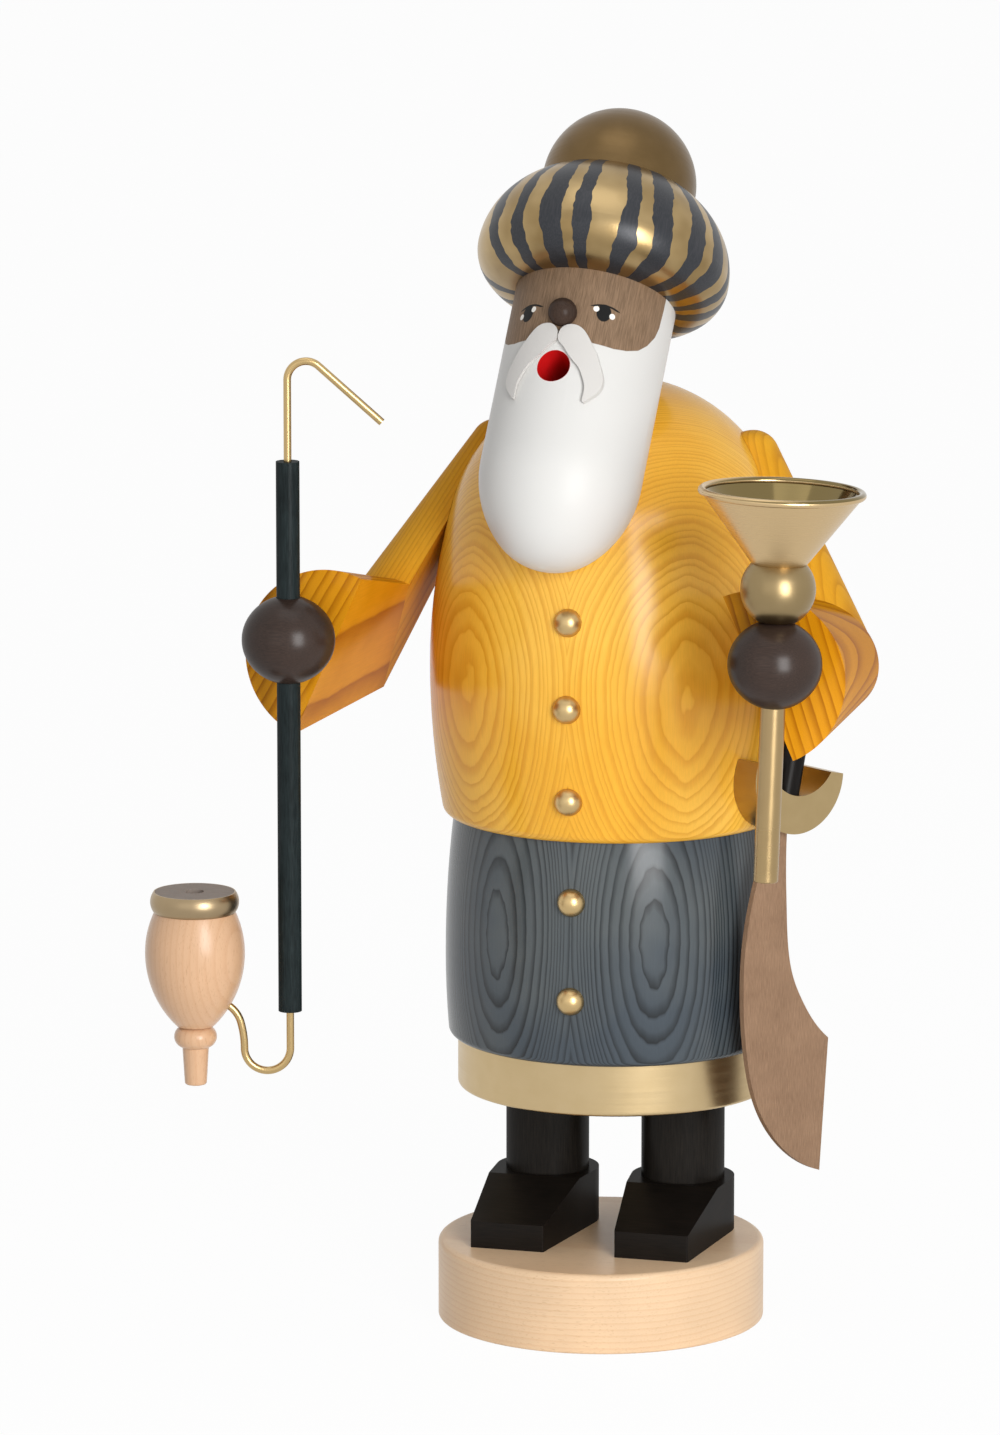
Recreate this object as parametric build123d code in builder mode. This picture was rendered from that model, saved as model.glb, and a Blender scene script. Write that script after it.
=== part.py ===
from build123d import *
import os
from math import atan2, cos, degrees, radians, sin, sqrt, tan

# Turned wooden incense smoker: a bearded man in a turban, in millimetres.
# He looks along minus Y and his left side is plus X.
# The origin is the centre of the base disc's underside.
# The head, jacket, arms and what they hold lift off the skirt to set a cone on its dish.

os.makedirs("parts", exist_ok=True)

# Gaps shared by the whole figure
glue_gap = 0.1
lift_clearance = 0.5
end_gap = 0.5
overrun = 6

# Base disc
base_radius = 67
base_height = 33
base_edge_rounding = 2.5
base_foot_rounding = 1
body_setback = 22

# Shoes
shoe_height = 22.5
heel_radius = 21.3
toe_width = 31
toe_reach = 56.6
toe_splay = 1.5
toe_height = 11
toe_square = 8
instep_start = 19
shoe_edge_rounding = 0.8

# Legs
leg_offset = 29
leg_radius = 17.2
leg_height = 37.7
leg_tenon_radius = 10
leg_foot_tenon = 12
leg_body_tenon = 18

# Hem ring under the skirt
hem_step = 3.6
hem_height = 21.3
hem_edge_rounding = 1.5
draft_bore_radius = 7
draft_bore_inset = 19

# Skirt
skirt_height = 92.7
skirt_foot_taper = 1.5
skirt_belly_swell = 3.5
skirt_belly_rise = 34
waist_step = 4.1
skirt_foot_rounding = 3
spigot_height = 8
skirt_button_rise_high = 68
skirt_button_rise_low = 27.4

# Dish that holds the cone
dish_radius = 25
dish_rim = 5
dish_wall = 0.8
dish_seat_depth = 2
dish_nail_offset = 14
dish_nail_radius = 0.9
dish_nail_length = 12
dish_nail_head_radius = 2.4
dish_nail_head = 1.4

# Jacket
jacket_height = 180
jacket_hem_radius = 70.7
jacket_hem_rounding = 4
jacket_belly_swell = 5.7
jacket_belly_rise = 62
jacket_crown_inset = 1.4
chamber_wall = 13.7
chamber_spring_rise = 85
jacket_button_rise_high = 91
jacket_button_rise_mid = 55.9
jacket_button_rise_low = 17.6

# Buttons
button_radius = 5.8
button_sink = 0.7
button_peg_radius = 2
button_peg_length = 8

# Head, a capsule on a leaning axis
head_turn = 4
head_tilt = 32.9
head_inset = 1.1
head_drop = 30.2
head_radius = 32.7
beard_length = 40.4
beard_end_radius = 27.7
head_height = 89.2
mouth_rise = 33
mouth_radius = 6.8
mouth_depth = 40
riser_radius = 6
head_dowel_rise = 36
head_dowel_radius = 4
head_dowel_depth = 10

# Nose and moustache
nose_radius = 5.8
nose_rise = 55.9
nose_proud = 1.4
nose_peg_radius = 2
nose_peg_length = 8
moustache_span = 20.3
moustache_rise = 18.7
moustache_height = 32.2
moustache_thickness = 1.8
moustache_edge_rounding = 0.7

# Turban and its dome
turban_radius = 51.4
turban_rise = 93.1
turban_crown = 40.6
turban_lip = 76.3
dome_radius = 31.3
dome_rise = 129
dome_seat = 116.5
turban_dowel_radius = 6
turban_dowel_foot = 69.5
turban_dowel_top = 133.5

# Arms, half cones with a flat inner face
arm_lean = 23.9
arm_splay = 2.3
arm_sink = 5.2
cuff_reach = 116.9
cuff_drop = 97.6
cuff_width = 70.5
crook_back = 78.1
crook_height = 53.6
elbow_back = 108.9
arm_front_angle = 58.6
arm_back_angle = 74.9
shoulder_height = 119
shoulder_rounding = 10
shoulder_dowel_back = 7
shoulder_dowel_radius = 4
shoulder_dowel_in_arm = 10
shoulder_dowel_in_jacket = 14
elbow_dowel_radius = 3
elbow_dowel_half = 12
elbow_dowel_out = 11

# Hands
hand_radius = 18.6
hand_half_height = 17.7
hand_side_share = 0.934
hand_flat = 0.9
hand_rise = 39.6
hand_out = 13.3
hand_crown_flat = 0.7
wrist_dowel_radius = 3
wrist_dowel_in_hand = 11
wrist_dowel_in_arm = 14

# Pipe
stem_radius = 4.7
stem_above = 71.7
stem_below = 151
wire_radius = 1.55
wire_hole_depth = 10
mouthpiece_rise = 32.6
mouthpiece_bend = 7.4
mouthpiece_fall = 42
mouthpiece_run = 33.6
pipe_bearing = 16
bowl_distance = 38
bowl_wire_drop = 15.4
bowl_wire_bend = 9.2
bowl_wire_lean = 1.4
bowl_wire_lean_rise = 10.6
bowl_wire_entry = 5
bowl_wire_entry_rise = 7
bowl_wire_reach = 6
bowl_top_rise = 48.8
bowl_radius = 20
bowl_belly_rise = 23.8
bowl_lip_radius = 16.2
bowl_neck_radius = 7.6
bowl_neck_drop = 6
bead_radius = 8.6
bead_height = 9.1
peg_top_radius = 5.3
peg_foot_radius = 4.4
peg_length = 15.1
peg_rounding = 1
bowl_ring_radius = 17.8
bowl_ring_height = 8.2
bowl_ring_lip = 0.5
bowl_collar_radius = 14
bowl_lid_radius = 15.8
bowl_lid_height = 3
bowl_lid_hole_radius = 3.8
bowl_lid_hole_depth = 14

# Torch
torch_lean_left = 1.8
torch_lean_back = 1.3
torch_rod_radius = 4.9
torch_rod_below = 86.5
torch_rod_rounding = 0.6
torch_ball_radius = 14.8
torch_ball_rise = 29.8
torch_cup_rise = 39.8
torch_cup_height = 28.2
torch_cup_foot_radius = 10.8
torch_cup_radius = 32.2
torch_cup_wall = 1.2
torch_cup_floor = 2
torch_cup_roll = 1.5
torch_screw_radius = 1.5
torch_screw_length = 16
torch_screw_head_radius = 3.4
torch_screw_head = 1.6

# Sword
sword_bearing = 55
sword_tilt = 12
sword_proud = 11.6
sword_aside = 21.6
sword_rise = 17
guard_radius = 23.4
guard_centre_rise = 7.7
guard_hollow_radius = 17.8
guard_horn_rise = 11.3
guard_depth = 40
grip_radius = 5.6
grip_length = 40
grip_inset = 7
grip_tenon_radius = 2.6
grip_tenon = 6
grip_rounding = 3
blade_thickness = 2.5
blade_length = 152
blade_reach = 51.4
blade_tang_top = 7.6
blade_tang_foot = 16.4
blade_tang_back = 6.3
blade_tang_front = 3.4
guard_dowel_radius = 2.5
guard_dowel_inset = 12
guard_dowel_in_jacket = 9
guard_dowel_drop = 8

# Moustache outline as shares of its span outwards and of its height up the head
moustache_shares = [
    (0.02, 0.89), (0.07, 0.95), (0.17, 0.99), (0.29, 1.00), (0.44, 0.97), (0.56, 0.90),
    (0.68, 0.79), (0.80, 0.67), (0.90, 0.53), (0.98, 0.40), (1.00, 0.28), (0.95, 0.17),
    (0.85, 0.08), (0.72, 0.00), (0.71, 0.11), (0.69, 0.23), (0.62, 0.34), (0.50, 0.46),
    (0.38, 0.53), (0.24, 0.63), (0.13, 0.71), (0.02, 0.79),
]

# Blade outline as shares of its reach across and of its length down
blade_back_shares = [(-0.155, 0.22), (-0.175, 0.38), (-0.10, 0.56), (0.045, 0.72), (0.26, 0.855),
                     (0.60, 0.955), (1.00, 1.00)]
blade_edge_shares = [(0.86, 0.64), (0.68, 0.60), (0.515, 0.545), (0.38, 0.485), (0.28, 0.41), (0.19, 0.30),
                     (0.125, 0.21)]

# Radii of the body, all from the jacket's hem
jacket_belly_radius = jacket_hem_radius + jacket_belly_swell
jacket_crown_radius = jacket_hem_radius - jacket_crown_inset
chamber_radius = jacket_hem_radius - chamber_wall
skirt_waist_radius = jacket_hem_radius - waist_step
skirt_belly_radius = skirt_waist_radius + skirt_belly_swell
skirt_foot_radius = skirt_belly_radius - skirt_foot_taper
hem_radius = skirt_foot_radius - hem_step
draft_bore_offset = chamber_radius - draft_bore_inset
head_reach = jacket_crown_radius - head_inset

# Levels up the figure
base_top = base_height
shoe_top = base_top + shoe_height
hem_foot = shoe_top + leg_height
hem_top = hem_foot + hem_height
waist = hem_top + skirt_height
jacket_top = waist + jacket_height
jacket_belly_height = waist + jacket_belly_rise
jacket_crown_centre = jacket_top - jacket_crown_radius
skirt_belly_height = hem_top + skirt_belly_rise
chamber_spring = waist + chamber_spring_rise

body_foot = Vector(0, body_setback, 0)
body_axis = Axis(body_foot, (0, 0, 1))
body_section = Plane(origin=body_foot, x_dir=(1, 0, 0), z_dir=(0, -1, 0))
upward = Vector(0, 0, 1)


def save(piece, name):
    """labels a finished piece and writes it to its file"""
    piece.part.label = name
    export_step(piece.part, f"parts/{name}.step")


def end_arc(belly_radius, end_radius, rise):
    """radius of the arc that leaves a belly upright and ends at a smaller radius, a rise away"""
    drop = belly_radius - end_radius
    return (rise**2 + drop**2) / (2 * drop)


def button_seat(height, belly_radius, belly_height, arc_radius):
    """place of a button on a turned bulge, in front, and its outward direction there"""
    rise = (height - belly_height) / arc_radius
    surface = belly_radius - arc_radius + arc_radius * sqrt(1 - rise**2)
    return Vector(0, body_setback - surface, height), Vector(0, -sqrt(1 - rise**2), rise)


def button_hole(seat, outward):
    """cutter of the hole that takes a button's peg"""
    return rod(seat + outward * overrun, -outward, button_peg_radius + glue_gap,
               button_peg_length + end_gap + overrun)


# Arc of the jacket's side above its belly, which runs smoothly into the ball of its crown
crown_above_belly = jacket_crown_centre - jacket_belly_height
jacket_side_arc = (jacket_belly_radius**2 + crown_above_belly**2 - jacket_crown_radius**2) / (
    2 * (jacket_belly_radius - jacket_crown_radius))
crown_start = atan2(crown_above_belly, jacket_side_arc - jacket_belly_radius)
jacket_hem_arc = end_arc(jacket_belly_radius, jacket_hem_radius, jacket_belly_rise)
skirt_top_arc = end_arc(skirt_belly_radius, skirt_waist_radius, skirt_height - skirt_belly_rise)
skirt_foot_arc = end_arc(skirt_belly_radius, skirt_foot_radius, skirt_belly_rise)


def jacket_form(grow):
    """the jacket's outside as a solid, grown outwards to leave a glue gap round it"""
    foot = (jacket_hem_radius + grow, waist)
    belly = (jacket_belly_radius + grow, jacket_belly_height)
    crown = jacket_crown_radius + grow
    shoulder = (crown * cos(crown_start), jacket_crown_centre + crown * sin(crown_start))
    with BuildPart() as form:
        with BuildSketch(body_section):
            with BuildLine():
                Line((0, jacket_crown_centre + crown), (0, waist))
                Line((0, waist), foot)
                TangentArc(belly, foot, tangent=(0, -1))
                TangentArc(belly, shoulder, tangent=(0, 1))
                CenterArc((0, jacket_crown_centre), crown, start_angle=degrees(crown_start),
                          arc_size=90 - degrees(crown_start))
            make_face()
            fillet(vertices_at(foot), jacket_hem_rounding)
        revolve(axis=body_axis)
    return form.part


def vertices_at(place):
    """the corner of the sketch being drawn that lies nearest a place in it"""
    sketch = BuildSketch._get_context()
    return sketch.vertices().sort_by_distance(Vector(*place))[0]


def skirt_form():
    """the skirt's outside as a solid"""
    foot = (skirt_foot_radius, hem_top)
    belly = (skirt_belly_radius, skirt_belly_height)
    top = (skirt_waist_radius, waist)
    with BuildPart() as form:
        with BuildSketch(body_section):
            with BuildLine():
                Line((0, waist), (0, hem_top))
                Line((0, hem_top), foot)
                TangentArc(belly, foot, tangent=(0, -1))
                TangentArc(belly, top, tangent=(0, 1))
                Line(top, (0, waist))
            make_face()
            fillet(vertices_at(foot), skirt_foot_rounding)
        revolve(axis=body_axis)
    return form.part


def rod(start, direction, radius, length):
    """a plain round rod or the cutter of a round hole"""
    with BuildPart() as solid:
        with BuildSketch(Plane(origin=start, z_dir=direction)):
            Circle(radius)
        extrude(amount=length)
    return solid.part


# Base disc, turned with two sockets for the legs
leg_places = [(side * leg_offset, body_setback) for side in (-1, 1)]
with BuildPart() as base_disc:
    Cylinder(base_radius, base_height, align=(Align.CENTER, Align.CENTER, Align.MIN))
    fillet(base_disc.edges().filter_by(GeomType.CIRCLE).sort_by(Axis.Z)[-1], base_edge_rounding)
    fillet(base_disc.edges().filter_by(GeomType.CIRCLE).sort_by(Axis.Z)[0], base_foot_rounding)
    for place in leg_places:
        add(rod((*place, base_top + overrun), -upward, leg_tenon_radius + glue_gap,
                leg_foot_tenon + end_gap + overrun), mode=Mode.SUBTRACT)
save(base_disc, "base_disc")

# Shoes, sawn blocks with a round heel and a sloping instep
slope_top = (body_setback - instep_start, shoe_top)
slope_foot = (body_setback - toe_reach, base_top + toe_height)
for side, name in ((-1, "right_shoe"), (1, "left_shoe")):
    heel = (side * leg_offset, body_setback)
    toe = (side * (leg_offset + toe_splay), body_setback - toe_reach + toe_square / 2)
    with BuildPart() as shoe:
        with BuildSketch(Plane.XY.offset(base_top)):
            with Locations(heel):
                Circle(heel_radius)
            with Locations(toe):
                Rectangle(toe_width, toe_square)
            make_hull()
        extrude(amount=shoe_height)
        with BuildSketch(Plane.YZ):
            with BuildLine():
                Polyline(slope_top, slope_foot, (slope_foot[0] - overrun, slope_foot[1]),
                         (slope_foot[0] - overrun, shoe_top + overrun),
                         (slope_top[0], shoe_top + overrun), close=True)
            make_face()
        extrude(amount=side * (leg_offset + heel_radius + overrun), mode=Mode.SUBTRACT)
        toe_face = shoe.faces().sort_by(Axis.Y)[0]
        fillet(toe_face.edges().filter_by(Axis.Z), shoe_edge_rounding)
        add(rod((*heel, shoe_top + overrun), -upward, leg_tenon_radius + glue_gap,
                shoe_height + 2 * overrun), mode=Mode.SUBTRACT)
    save(shoe, name)

# Legs, turned with a tenon at each end
for place, name in zip(leg_places, ("right_leg", "left_leg")):
    with BuildPart() as leg:
        add(rod((*place, shoe_top), upward, leg_radius, leg_height))
        add(rod((*place, base_top - leg_foot_tenon), upward, leg_tenon_radius,
                leg_foot_tenon + shoe_height + leg_height + hem_height + leg_body_tenon))
    save(leg, name)

# Hem ring, a turned disc with the legs' holes and the draft bore
draft_place = (0, body_setback + draft_bore_offset)
with BuildPart() as hem:
    with BuildSketch(Plane.XY.offset(hem_foot)):
        with Locations((0, body_setback)):
            Circle(hem_radius)
        with Locations(*leg_places):
            Circle(leg_tenon_radius + glue_gap, mode=Mode.SUBTRACT)
        with Locations(draft_place):
            Circle(draft_bore_radius, mode=Mode.SUBTRACT)
    extrude(amount=hem_height)
    rim = hem.edges().filter_by(lambda edge: edge.geom_type == GeomType.CIRCLE
                                and edge.radius > hem_radius - hem_edge_rounding)
    fillet(rim.sort_by(Axis.Z)[0], hem_edge_rounding)
save(hem, "hem_ring")

# Skirt, a turned block with a spigot for the jacket and a seat for the dish
skirt_buttons = {
    name: button_seat(hem_top + rise, skirt_belly_radius, skirt_belly_height, arc_radius)
    for name, rise, arc_radius in (
        ("skirt_button_upper", skirt_button_rise_high, skirt_top_arc),
        ("skirt_button_lower", skirt_button_rise_low, skirt_foot_arc),
    )
}
with BuildPart() as skirt:
    add(skirt_form())
    add(rod((0, body_setback, waist), upward, chamber_radius - lift_clearance, spigot_height))
    spigot_top = waist + spigot_height
    add(rod((0, body_setback, spigot_top + overrun), -upward, dish_radius + end_gap,
            dish_seat_depth + overrun), mode=Mode.SUBTRACT)
    add(rod((*draft_place, hem_top - overrun), upward, draft_bore_radius,
            skirt_height + spigot_height + 2 * overrun), mode=Mode.SUBTRACT)
    for place in leg_places:
        add(rod((*place, hem_top - overrun), upward, leg_tenon_radius + glue_gap,
                leg_body_tenon + end_gap + overrun), mode=Mode.SUBTRACT)
    for nail_side in (-1, 1):
        add(rod((nail_side * dish_nail_offset, body_setback, spigot_top), -upward,
                dish_nail_radius + glue_gap, dish_nail_length + dish_seat_depth), mode=Mode.SUBTRACT)
    for seat, outward in skirt_buttons.values():
        add(button_hole(seat, outward), mode=Mode.SUBTRACT)
save(skirt, "skirt")

# Dish, a pressed brass plate with a raised rim
dish_foot = spigot_top - dish_seat_depth
with BuildPart() as cone_dish:
    with BuildSketch(body_section):
        with BuildLine():
            Polyline((0, dish_foot), (dish_radius - dish_rim, dish_foot),
                     (dish_radius, dish_foot + dish_rim), (dish_radius - dish_wall, dish_foot + dish_rim),
                     (dish_radius - dish_rim - dish_wall / 2, dish_foot + dish_wall),
                     (0, dish_foot + dish_wall), close=True)
        make_face()
    revolve(axis=body_axis)
    for nail_side in (-1, 1):
        add(rod((nail_side * dish_nail_offset, body_setback, dish_foot - overrun), upward,
                dish_nail_radius + glue_gap, dish_wall + 2 * overrun), mode=Mode.SUBTRACT)
save(cone_dish, "cone_dish")

# Nails that hold the dish, one node of two solids
nail_seat = dish_foot + dish_wall
with BuildPart() as dish_nails:
    for nail_side in (-1, 1):
        nail_place = (nail_side * dish_nail_offset, body_setback)
        add(rod((*nail_place, nail_seat), upward, dish_nail_head_radius, dish_nail_head))
        add(rod((*nail_place, nail_seat), -upward, dish_nail_radius, dish_nail_length))
save(dish_nails, "dish_nails")

# Axes of the head: up its length, out of its face and to its left
turn = radians(head_turn)
tilt = radians(head_tilt)
head_ahead = Vector(-sin(turn), -cos(turn), 0)
head_left = Vector(cos(turn), -sin(turn), 0)
head_up = head_ahead * -sin(tilt) + upward * cos(tilt)
head_face = head_ahead * cos(tilt) + upward * sin(tilt)
head_anchor = Vector(0, body_setback, jacket_top - head_drop) + head_ahead * head_reach
head_axis = Axis(head_anchor, head_up)
head_section = Plane(origin=head_anchor, x_dir=head_left, z_dir=head_face)


def on_head(left, up, ahead):
    """a place beside the head's axis, by its distances left, up and ahead of the anchor"""
    return head_anchor + head_left * left + head_up * up + head_face * ahead


# Arc of the beard's side, which runs smoothly from the head's barrel into the ball of its end
beard_drop = beard_length - beard_end_radius
beard_side_arc = (head_radius**2 + beard_drop**2 - beard_end_radius**2) / (
    2 * (head_radius - beard_end_radius))
beard_turn = atan2(beard_drop, beard_side_arc - head_radius)


def head_form(grow):
    """the head's capsule, grown outwards to leave a glue gap round it"""
    beard_end = beard_end_radius + grow
    beard_corner = (beard_end * cos(beard_turn),
                    beard_end_radius - beard_length - beard_end * sin(beard_turn))
    with BuildPart() as form:
        with BuildSketch(head_section):
            with BuildLine():
                CenterArc((0, beard_end_radius - beard_length), beard_end, start_angle=-90,
                          arc_size=90 - degrees(beard_turn))
                TangentArc((head_radius + grow, 0), beard_corner, tangent=(0, -1))
                Polyline((head_radius + grow, 0), (head_radius + grow, head_height),
                         (0, head_height), (0, -beard_length - grow))
            make_face()
        revolve(axis=head_axis)
    return form.part


# Smoke way: the mouth is bored square to the face, and a riser comes up to its end
mouth_place = on_head(0, mouth_rise, head_radius)
mouth_end = on_head(0, mouth_rise, head_radius - mouth_depth)
riser_foot = Vector(mouth_end.X, mouth_end.Y, chamber_spring)
head_dowel_place = on_head(0, head_dowel_rise, -head_radius)

with BuildPart() as head:
    add(head_form(0))
    add(rod(mouth_place + head_face * overrun, -head_face, mouth_radius, mouth_depth + overrun),
        mode=Mode.SUBTRACT)
    add(rod(riser_foot, upward, riser_radius, mouth_end.Z - chamber_spring), mode=Mode.SUBTRACT)
    add(rod(head_dowel_place + head_face * (head_dowel_depth + end_gap), -head_face,
            head_dowel_radius + glue_gap, head_dowel_depth + overrun), mode=Mode.SUBTRACT)
    add(rod(on_head(0, turban_dowel_foot - end_gap, 0), head_up, turban_dowel_radius + glue_gap,
            head_height - turban_dowel_foot + overrun), mode=Mode.SUBTRACT)
    add(rod(on_head(0, nose_rise, head_radius + overrun), -head_face, nose_peg_radius + glue_gap,
            nose_peg_length + end_gap + overrun), mode=Mode.SUBTRACT)
save(head, "head")

with BuildPart() as head_dowel:
    add(rod(head_dowel_place + head_face * head_dowel_depth, -head_face, head_dowel_radius,
            2 * head_dowel_depth))
save(head_dowel, "head_dowel")

# Nose, a turned bead on a peg
nose_plane = Plane(origin=on_head(0, nose_rise, head_radius + nose_proud))
with BuildPart() as nose:
    add(Solid.make_sphere(nose_radius, nose_plane))
    add(head_form(glue_gap), mode=Mode.SUBTRACT)
    add(rod(on_head(0, nose_rise, head_radius + nose_proud), -head_face, nose_peg_radius,
            nose_peg_length + nose_proud))
save(nose, "nose")

# Moustache, two thin leaves bent round the head
for side, name in ((1, "left_moustache"), (-1, "right_moustache")):
    with BuildPart() as moustache:
        with BuildSketch(head_section):
            with BuildLine():
                Spline(*[(side * out * moustache_span, moustache_rise + up * moustache_height)
                         for out, up in moustache_shares], periodic=True)
            make_face()
        extrude(amount=head_radius + moustache_thickness + overrun)
        with BuildSketch(Plane(origin=head_anchor, z_dir=head_up)):
            Circle(head_radius + glue_gap + moustache_thickness)
            Circle(head_radius + glue_gap, mode=Mode.SUBTRACT)
        extrude(amount=head_height, mode=Mode.INTERSECT)
        add(Solid.make_sphere(nose_radius + glue_gap, nose_plane), mode=Mode.SUBTRACT)
    save(moustache, name)

# Turban, a turned ball with a curled underside, and the dome let into its top
with BuildPart() as turban:
    with BuildSketch(head_section):
        with BuildLine():
            EllipticalCenterArc((head_radius, turban_rise), turban_radius - head_radius,
                                turban_rise - turban_lip, start_angle=270, arc_size=90)
            EllipticalCenterArc((0, turban_rise), turban_radius, turban_crown,
                                start_angle=0, arc_size=90)
            Polyline((0, turban_rise + turban_crown), (0, turban_lip), (head_radius, turban_lip))
        make_face()
    revolve(axis=head_axis)
    add(rod(on_head(0, turban_lip - overrun, 0), head_up, head_radius + glue_gap,
            head_height - turban_lip + overrun), mode=Mode.SUBTRACT)
    add(rod(on_head(0, dome_seat, 0), head_up, dome_radius + glue_gap,
            turban_crown + overrun), mode=Mode.SUBTRACT)
    add(rod(on_head(0, turban_lip, 0), head_up, turban_dowel_radius + glue_gap,
            turban_crown + overrun), mode=Mode.SUBTRACT)
save(turban, "turban")

with BuildPart() as turban_dome:
    with BuildSketch(head_section):
        with BuildLine():
            CenterArc((0, dome_rise), dome_radius, start_angle=0, arc_size=90)
            Polyline((0, dome_rise + dome_radius), (0, dome_seat), (dome_radius, dome_seat),
                     (dome_radius, dome_rise))
        make_face()
    revolve(axis=head_axis)
    add(rod(on_head(0, dome_seat - overrun, 0), head_up, turban_dowel_radius + glue_gap,
            turban_dowel_top - dome_seat + end_gap + overrun), mode=Mode.SUBTRACT)
save(turban_dome, "turban_dome")

with BuildPart() as turban_dowel:
    add(rod(on_head(0, turban_dowel_foot, 0), head_up, turban_dowel_radius,
            turban_dowel_top - turban_dowel_foot))
save(turban_dowel, "turban_dowel")

# Plane of the left arm's flat face: it lies a little inside the jacket's dome
lean = radians(arm_lean)
splay = radians(arm_splay)
sideways = Vector(cos(splay), sin(splay), 0)
arm_ahead = Vector(sin(splay), -cos(splay), 0)
arm_out = sideways * cos(lean) + upward * sin(lean)
arm_up = upward * cos(lean) - sideways * sin(lean)
arm_root = body_foot + upward * jacket_crown_centre + arm_out * (jacket_crown_radius - arm_sink)
cuff_corner = arm_root + arm_ahead * cuff_reach - arm_up * cuff_drop
arm_plane = Plane(origin=cuff_corner, x_dir=-arm_ahead, z_dir=arm_out)


def in_arm(back, up, out):
    """a place in the arm, by its distances back, up and out from the cuff's lowest corner"""
    return cuff_corner - arm_ahead * back + arm_up * up + arm_out * out


# Mitre where the forearm meets the upper arm
mitre_along = (arm_up * crook_height - arm_ahead * (crook_back - elbow_back)).normalized()
mitre_normal = mitre_along.cross(arm_out).normalized()
if mitre_normal.dot(arm_ahead) < 0:
    mitre_normal = -mitre_normal
mitre_toward_cuff = Plane(origin=in_arm(elbow_back, 0, 0), x_dir=arm_out, z_dir=mitre_normal)
mitre_toward_shoulder = Plane(origin=in_arm(elbow_back, 0, 0), x_dir=arm_out, z_dir=-mitre_normal)
mitre_middle = in_arm((crook_back + elbow_back) / 2, crook_height / 2, elbow_dowel_out)
shoulder_dowel_start = in_arm(cuff_reach + shoulder_dowel_back, cuff_drop, shoulder_dowel_in_arm)

# Hand centres, and the dowels that hold the hands on the cuffs
hand_back = -(hand_radius - hand_flat)
left_hand_centre = in_arm(hand_back, hand_rise, hand_out)
wrist_start = in_arm(-wrist_dowel_in_hand, hand_rise, hand_out)

# Left forearm, a half cone between the cuff and the mitre
forearm_taper = atan2(cuff_width - crook_height, crook_back)
forearm_apex = cuff_width / tan(forearm_taper)
cuff_front = -cuff_width
front_span = forearm_apex - cuff_front
with BuildPart() as left_forearm:
    with BuildSketch(arm_plane):
        with BuildLine():
            Polyline((forearm_apex, 0), (cuff_front, front_span * tan(forearm_taper)),
                     (cuff_front, front_span * tan(forearm_taper / 2)), close=True)
        make_face()
    cone_point = in_arm(forearm_apex, 0, 0)
    revolve(axis=Axis(cone_point, cone_point - in_arm(cuff_front, front_span * tan(forearm_taper / 2), 0)),
            revolution_arc=180)
    split(bisect_by=Plane(origin=cuff_corner, z_dir=-arm_ahead), keep=Keep.TOP)
    split(bisect_by=mitre_toward_cuff, keep=Keep.TOP)
    add(rod(mitre_middle - mitre_normal * overrun, mitre_normal, elbow_dowel_radius + glue_gap,
            elbow_dowel_half + end_gap + overrun), mode=Mode.SUBTRACT)
    add(rod(in_arm(-overrun, hand_rise, hand_out), -arm_ahead, wrist_dowel_radius + glue_gap,
            wrist_dowel_in_arm + end_gap + overrun), mode=Mode.SUBTRACT)

# Left upper arm, a half cone between the mitre and the rounded shoulder
front_slope = radians(arm_front_angle)
back_slope = radians(arm_back_angle)
rise_gap = crook_height - crook_back * tan(front_slope) + elbow_back * tan(back_slope)
arm_apex_back = rise_gap / (tan(back_slope) - tan(front_slope))
arm_apex_up = (arm_apex_back - elbow_back) * tan(back_slope)
arm_half_angle = (back_slope - front_slope) / 2
arm_axis_slope = (back_slope + front_slope) / 2


def on_arm_cone(distance, angle):
    """a point of the upper arm's outline, by its distance and bearing from the cone's apex"""
    return (arm_apex_back - distance * cos(arm_axis_slope - angle),
            arm_apex_up - distance * sin(arm_axis_slope - angle))


end_distance = (arm_apex_up - shoulder_height) / sin(arm_axis_slope)
far_distance = arm_apex_up / sin(arm_axis_slope) + cuff_width
with BuildPart() as left_upper_arm:
    with BuildSketch(arm_plane):
        end_edge = on_arm_cone(end_distance / cos(arm_half_angle), arm_half_angle)
        with BuildLine():
            Polyline(on_arm_cone(end_distance, 0), end_edge,
                     on_arm_cone(far_distance / cos(arm_half_angle), arm_half_angle),
                     on_arm_cone(far_distance, 0), close=True)
        make_face()
        fillet(vertices_at(end_edge), shoulder_rounding)
    cone_foot = on_arm_cone(far_distance, 0)
    revolve(axis=Axis(in_arm(*cone_foot, 0),
                      in_arm(arm_apex_back, arm_apex_up, 0) - in_arm(*cone_foot, 0)),
            revolution_arc=180)
    split(bisect_by=mitre_toward_shoulder, keep=Keep.TOP)
    add(jacket_form(glue_gap), mode=Mode.SUBTRACT)
    add(rod(mitre_middle + mitre_normal * overrun, -mitre_normal, elbow_dowel_radius + glue_gap,
            elbow_dowel_half + end_gap + overrun), mode=Mode.SUBTRACT)
    add(rod(shoulder_dowel_start + arm_out * end_gap, -arm_out, shoulder_dowel_radius + glue_gap,
            shoulder_dowel_in_arm + overrun), mode=Mode.SUBTRACT)

with BuildPart() as left_shoulder_dowel:
    add(rod(shoulder_dowel_start, -arm_out, shoulder_dowel_radius,
            shoulder_dowel_in_arm + shoulder_dowel_in_jacket))
with BuildPart() as left_elbow_dowel:
    add(rod(mitre_middle - mitre_normal * elbow_dowel_half, mitre_normal, elbow_dowel_radius,
            2 * elbow_dowel_half))
with BuildPart() as left_wrist_dowel:
    add(rod(wrist_start, -arm_ahead, wrist_dowel_radius, wrist_dowel_in_hand + wrist_dowel_in_arm))

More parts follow.
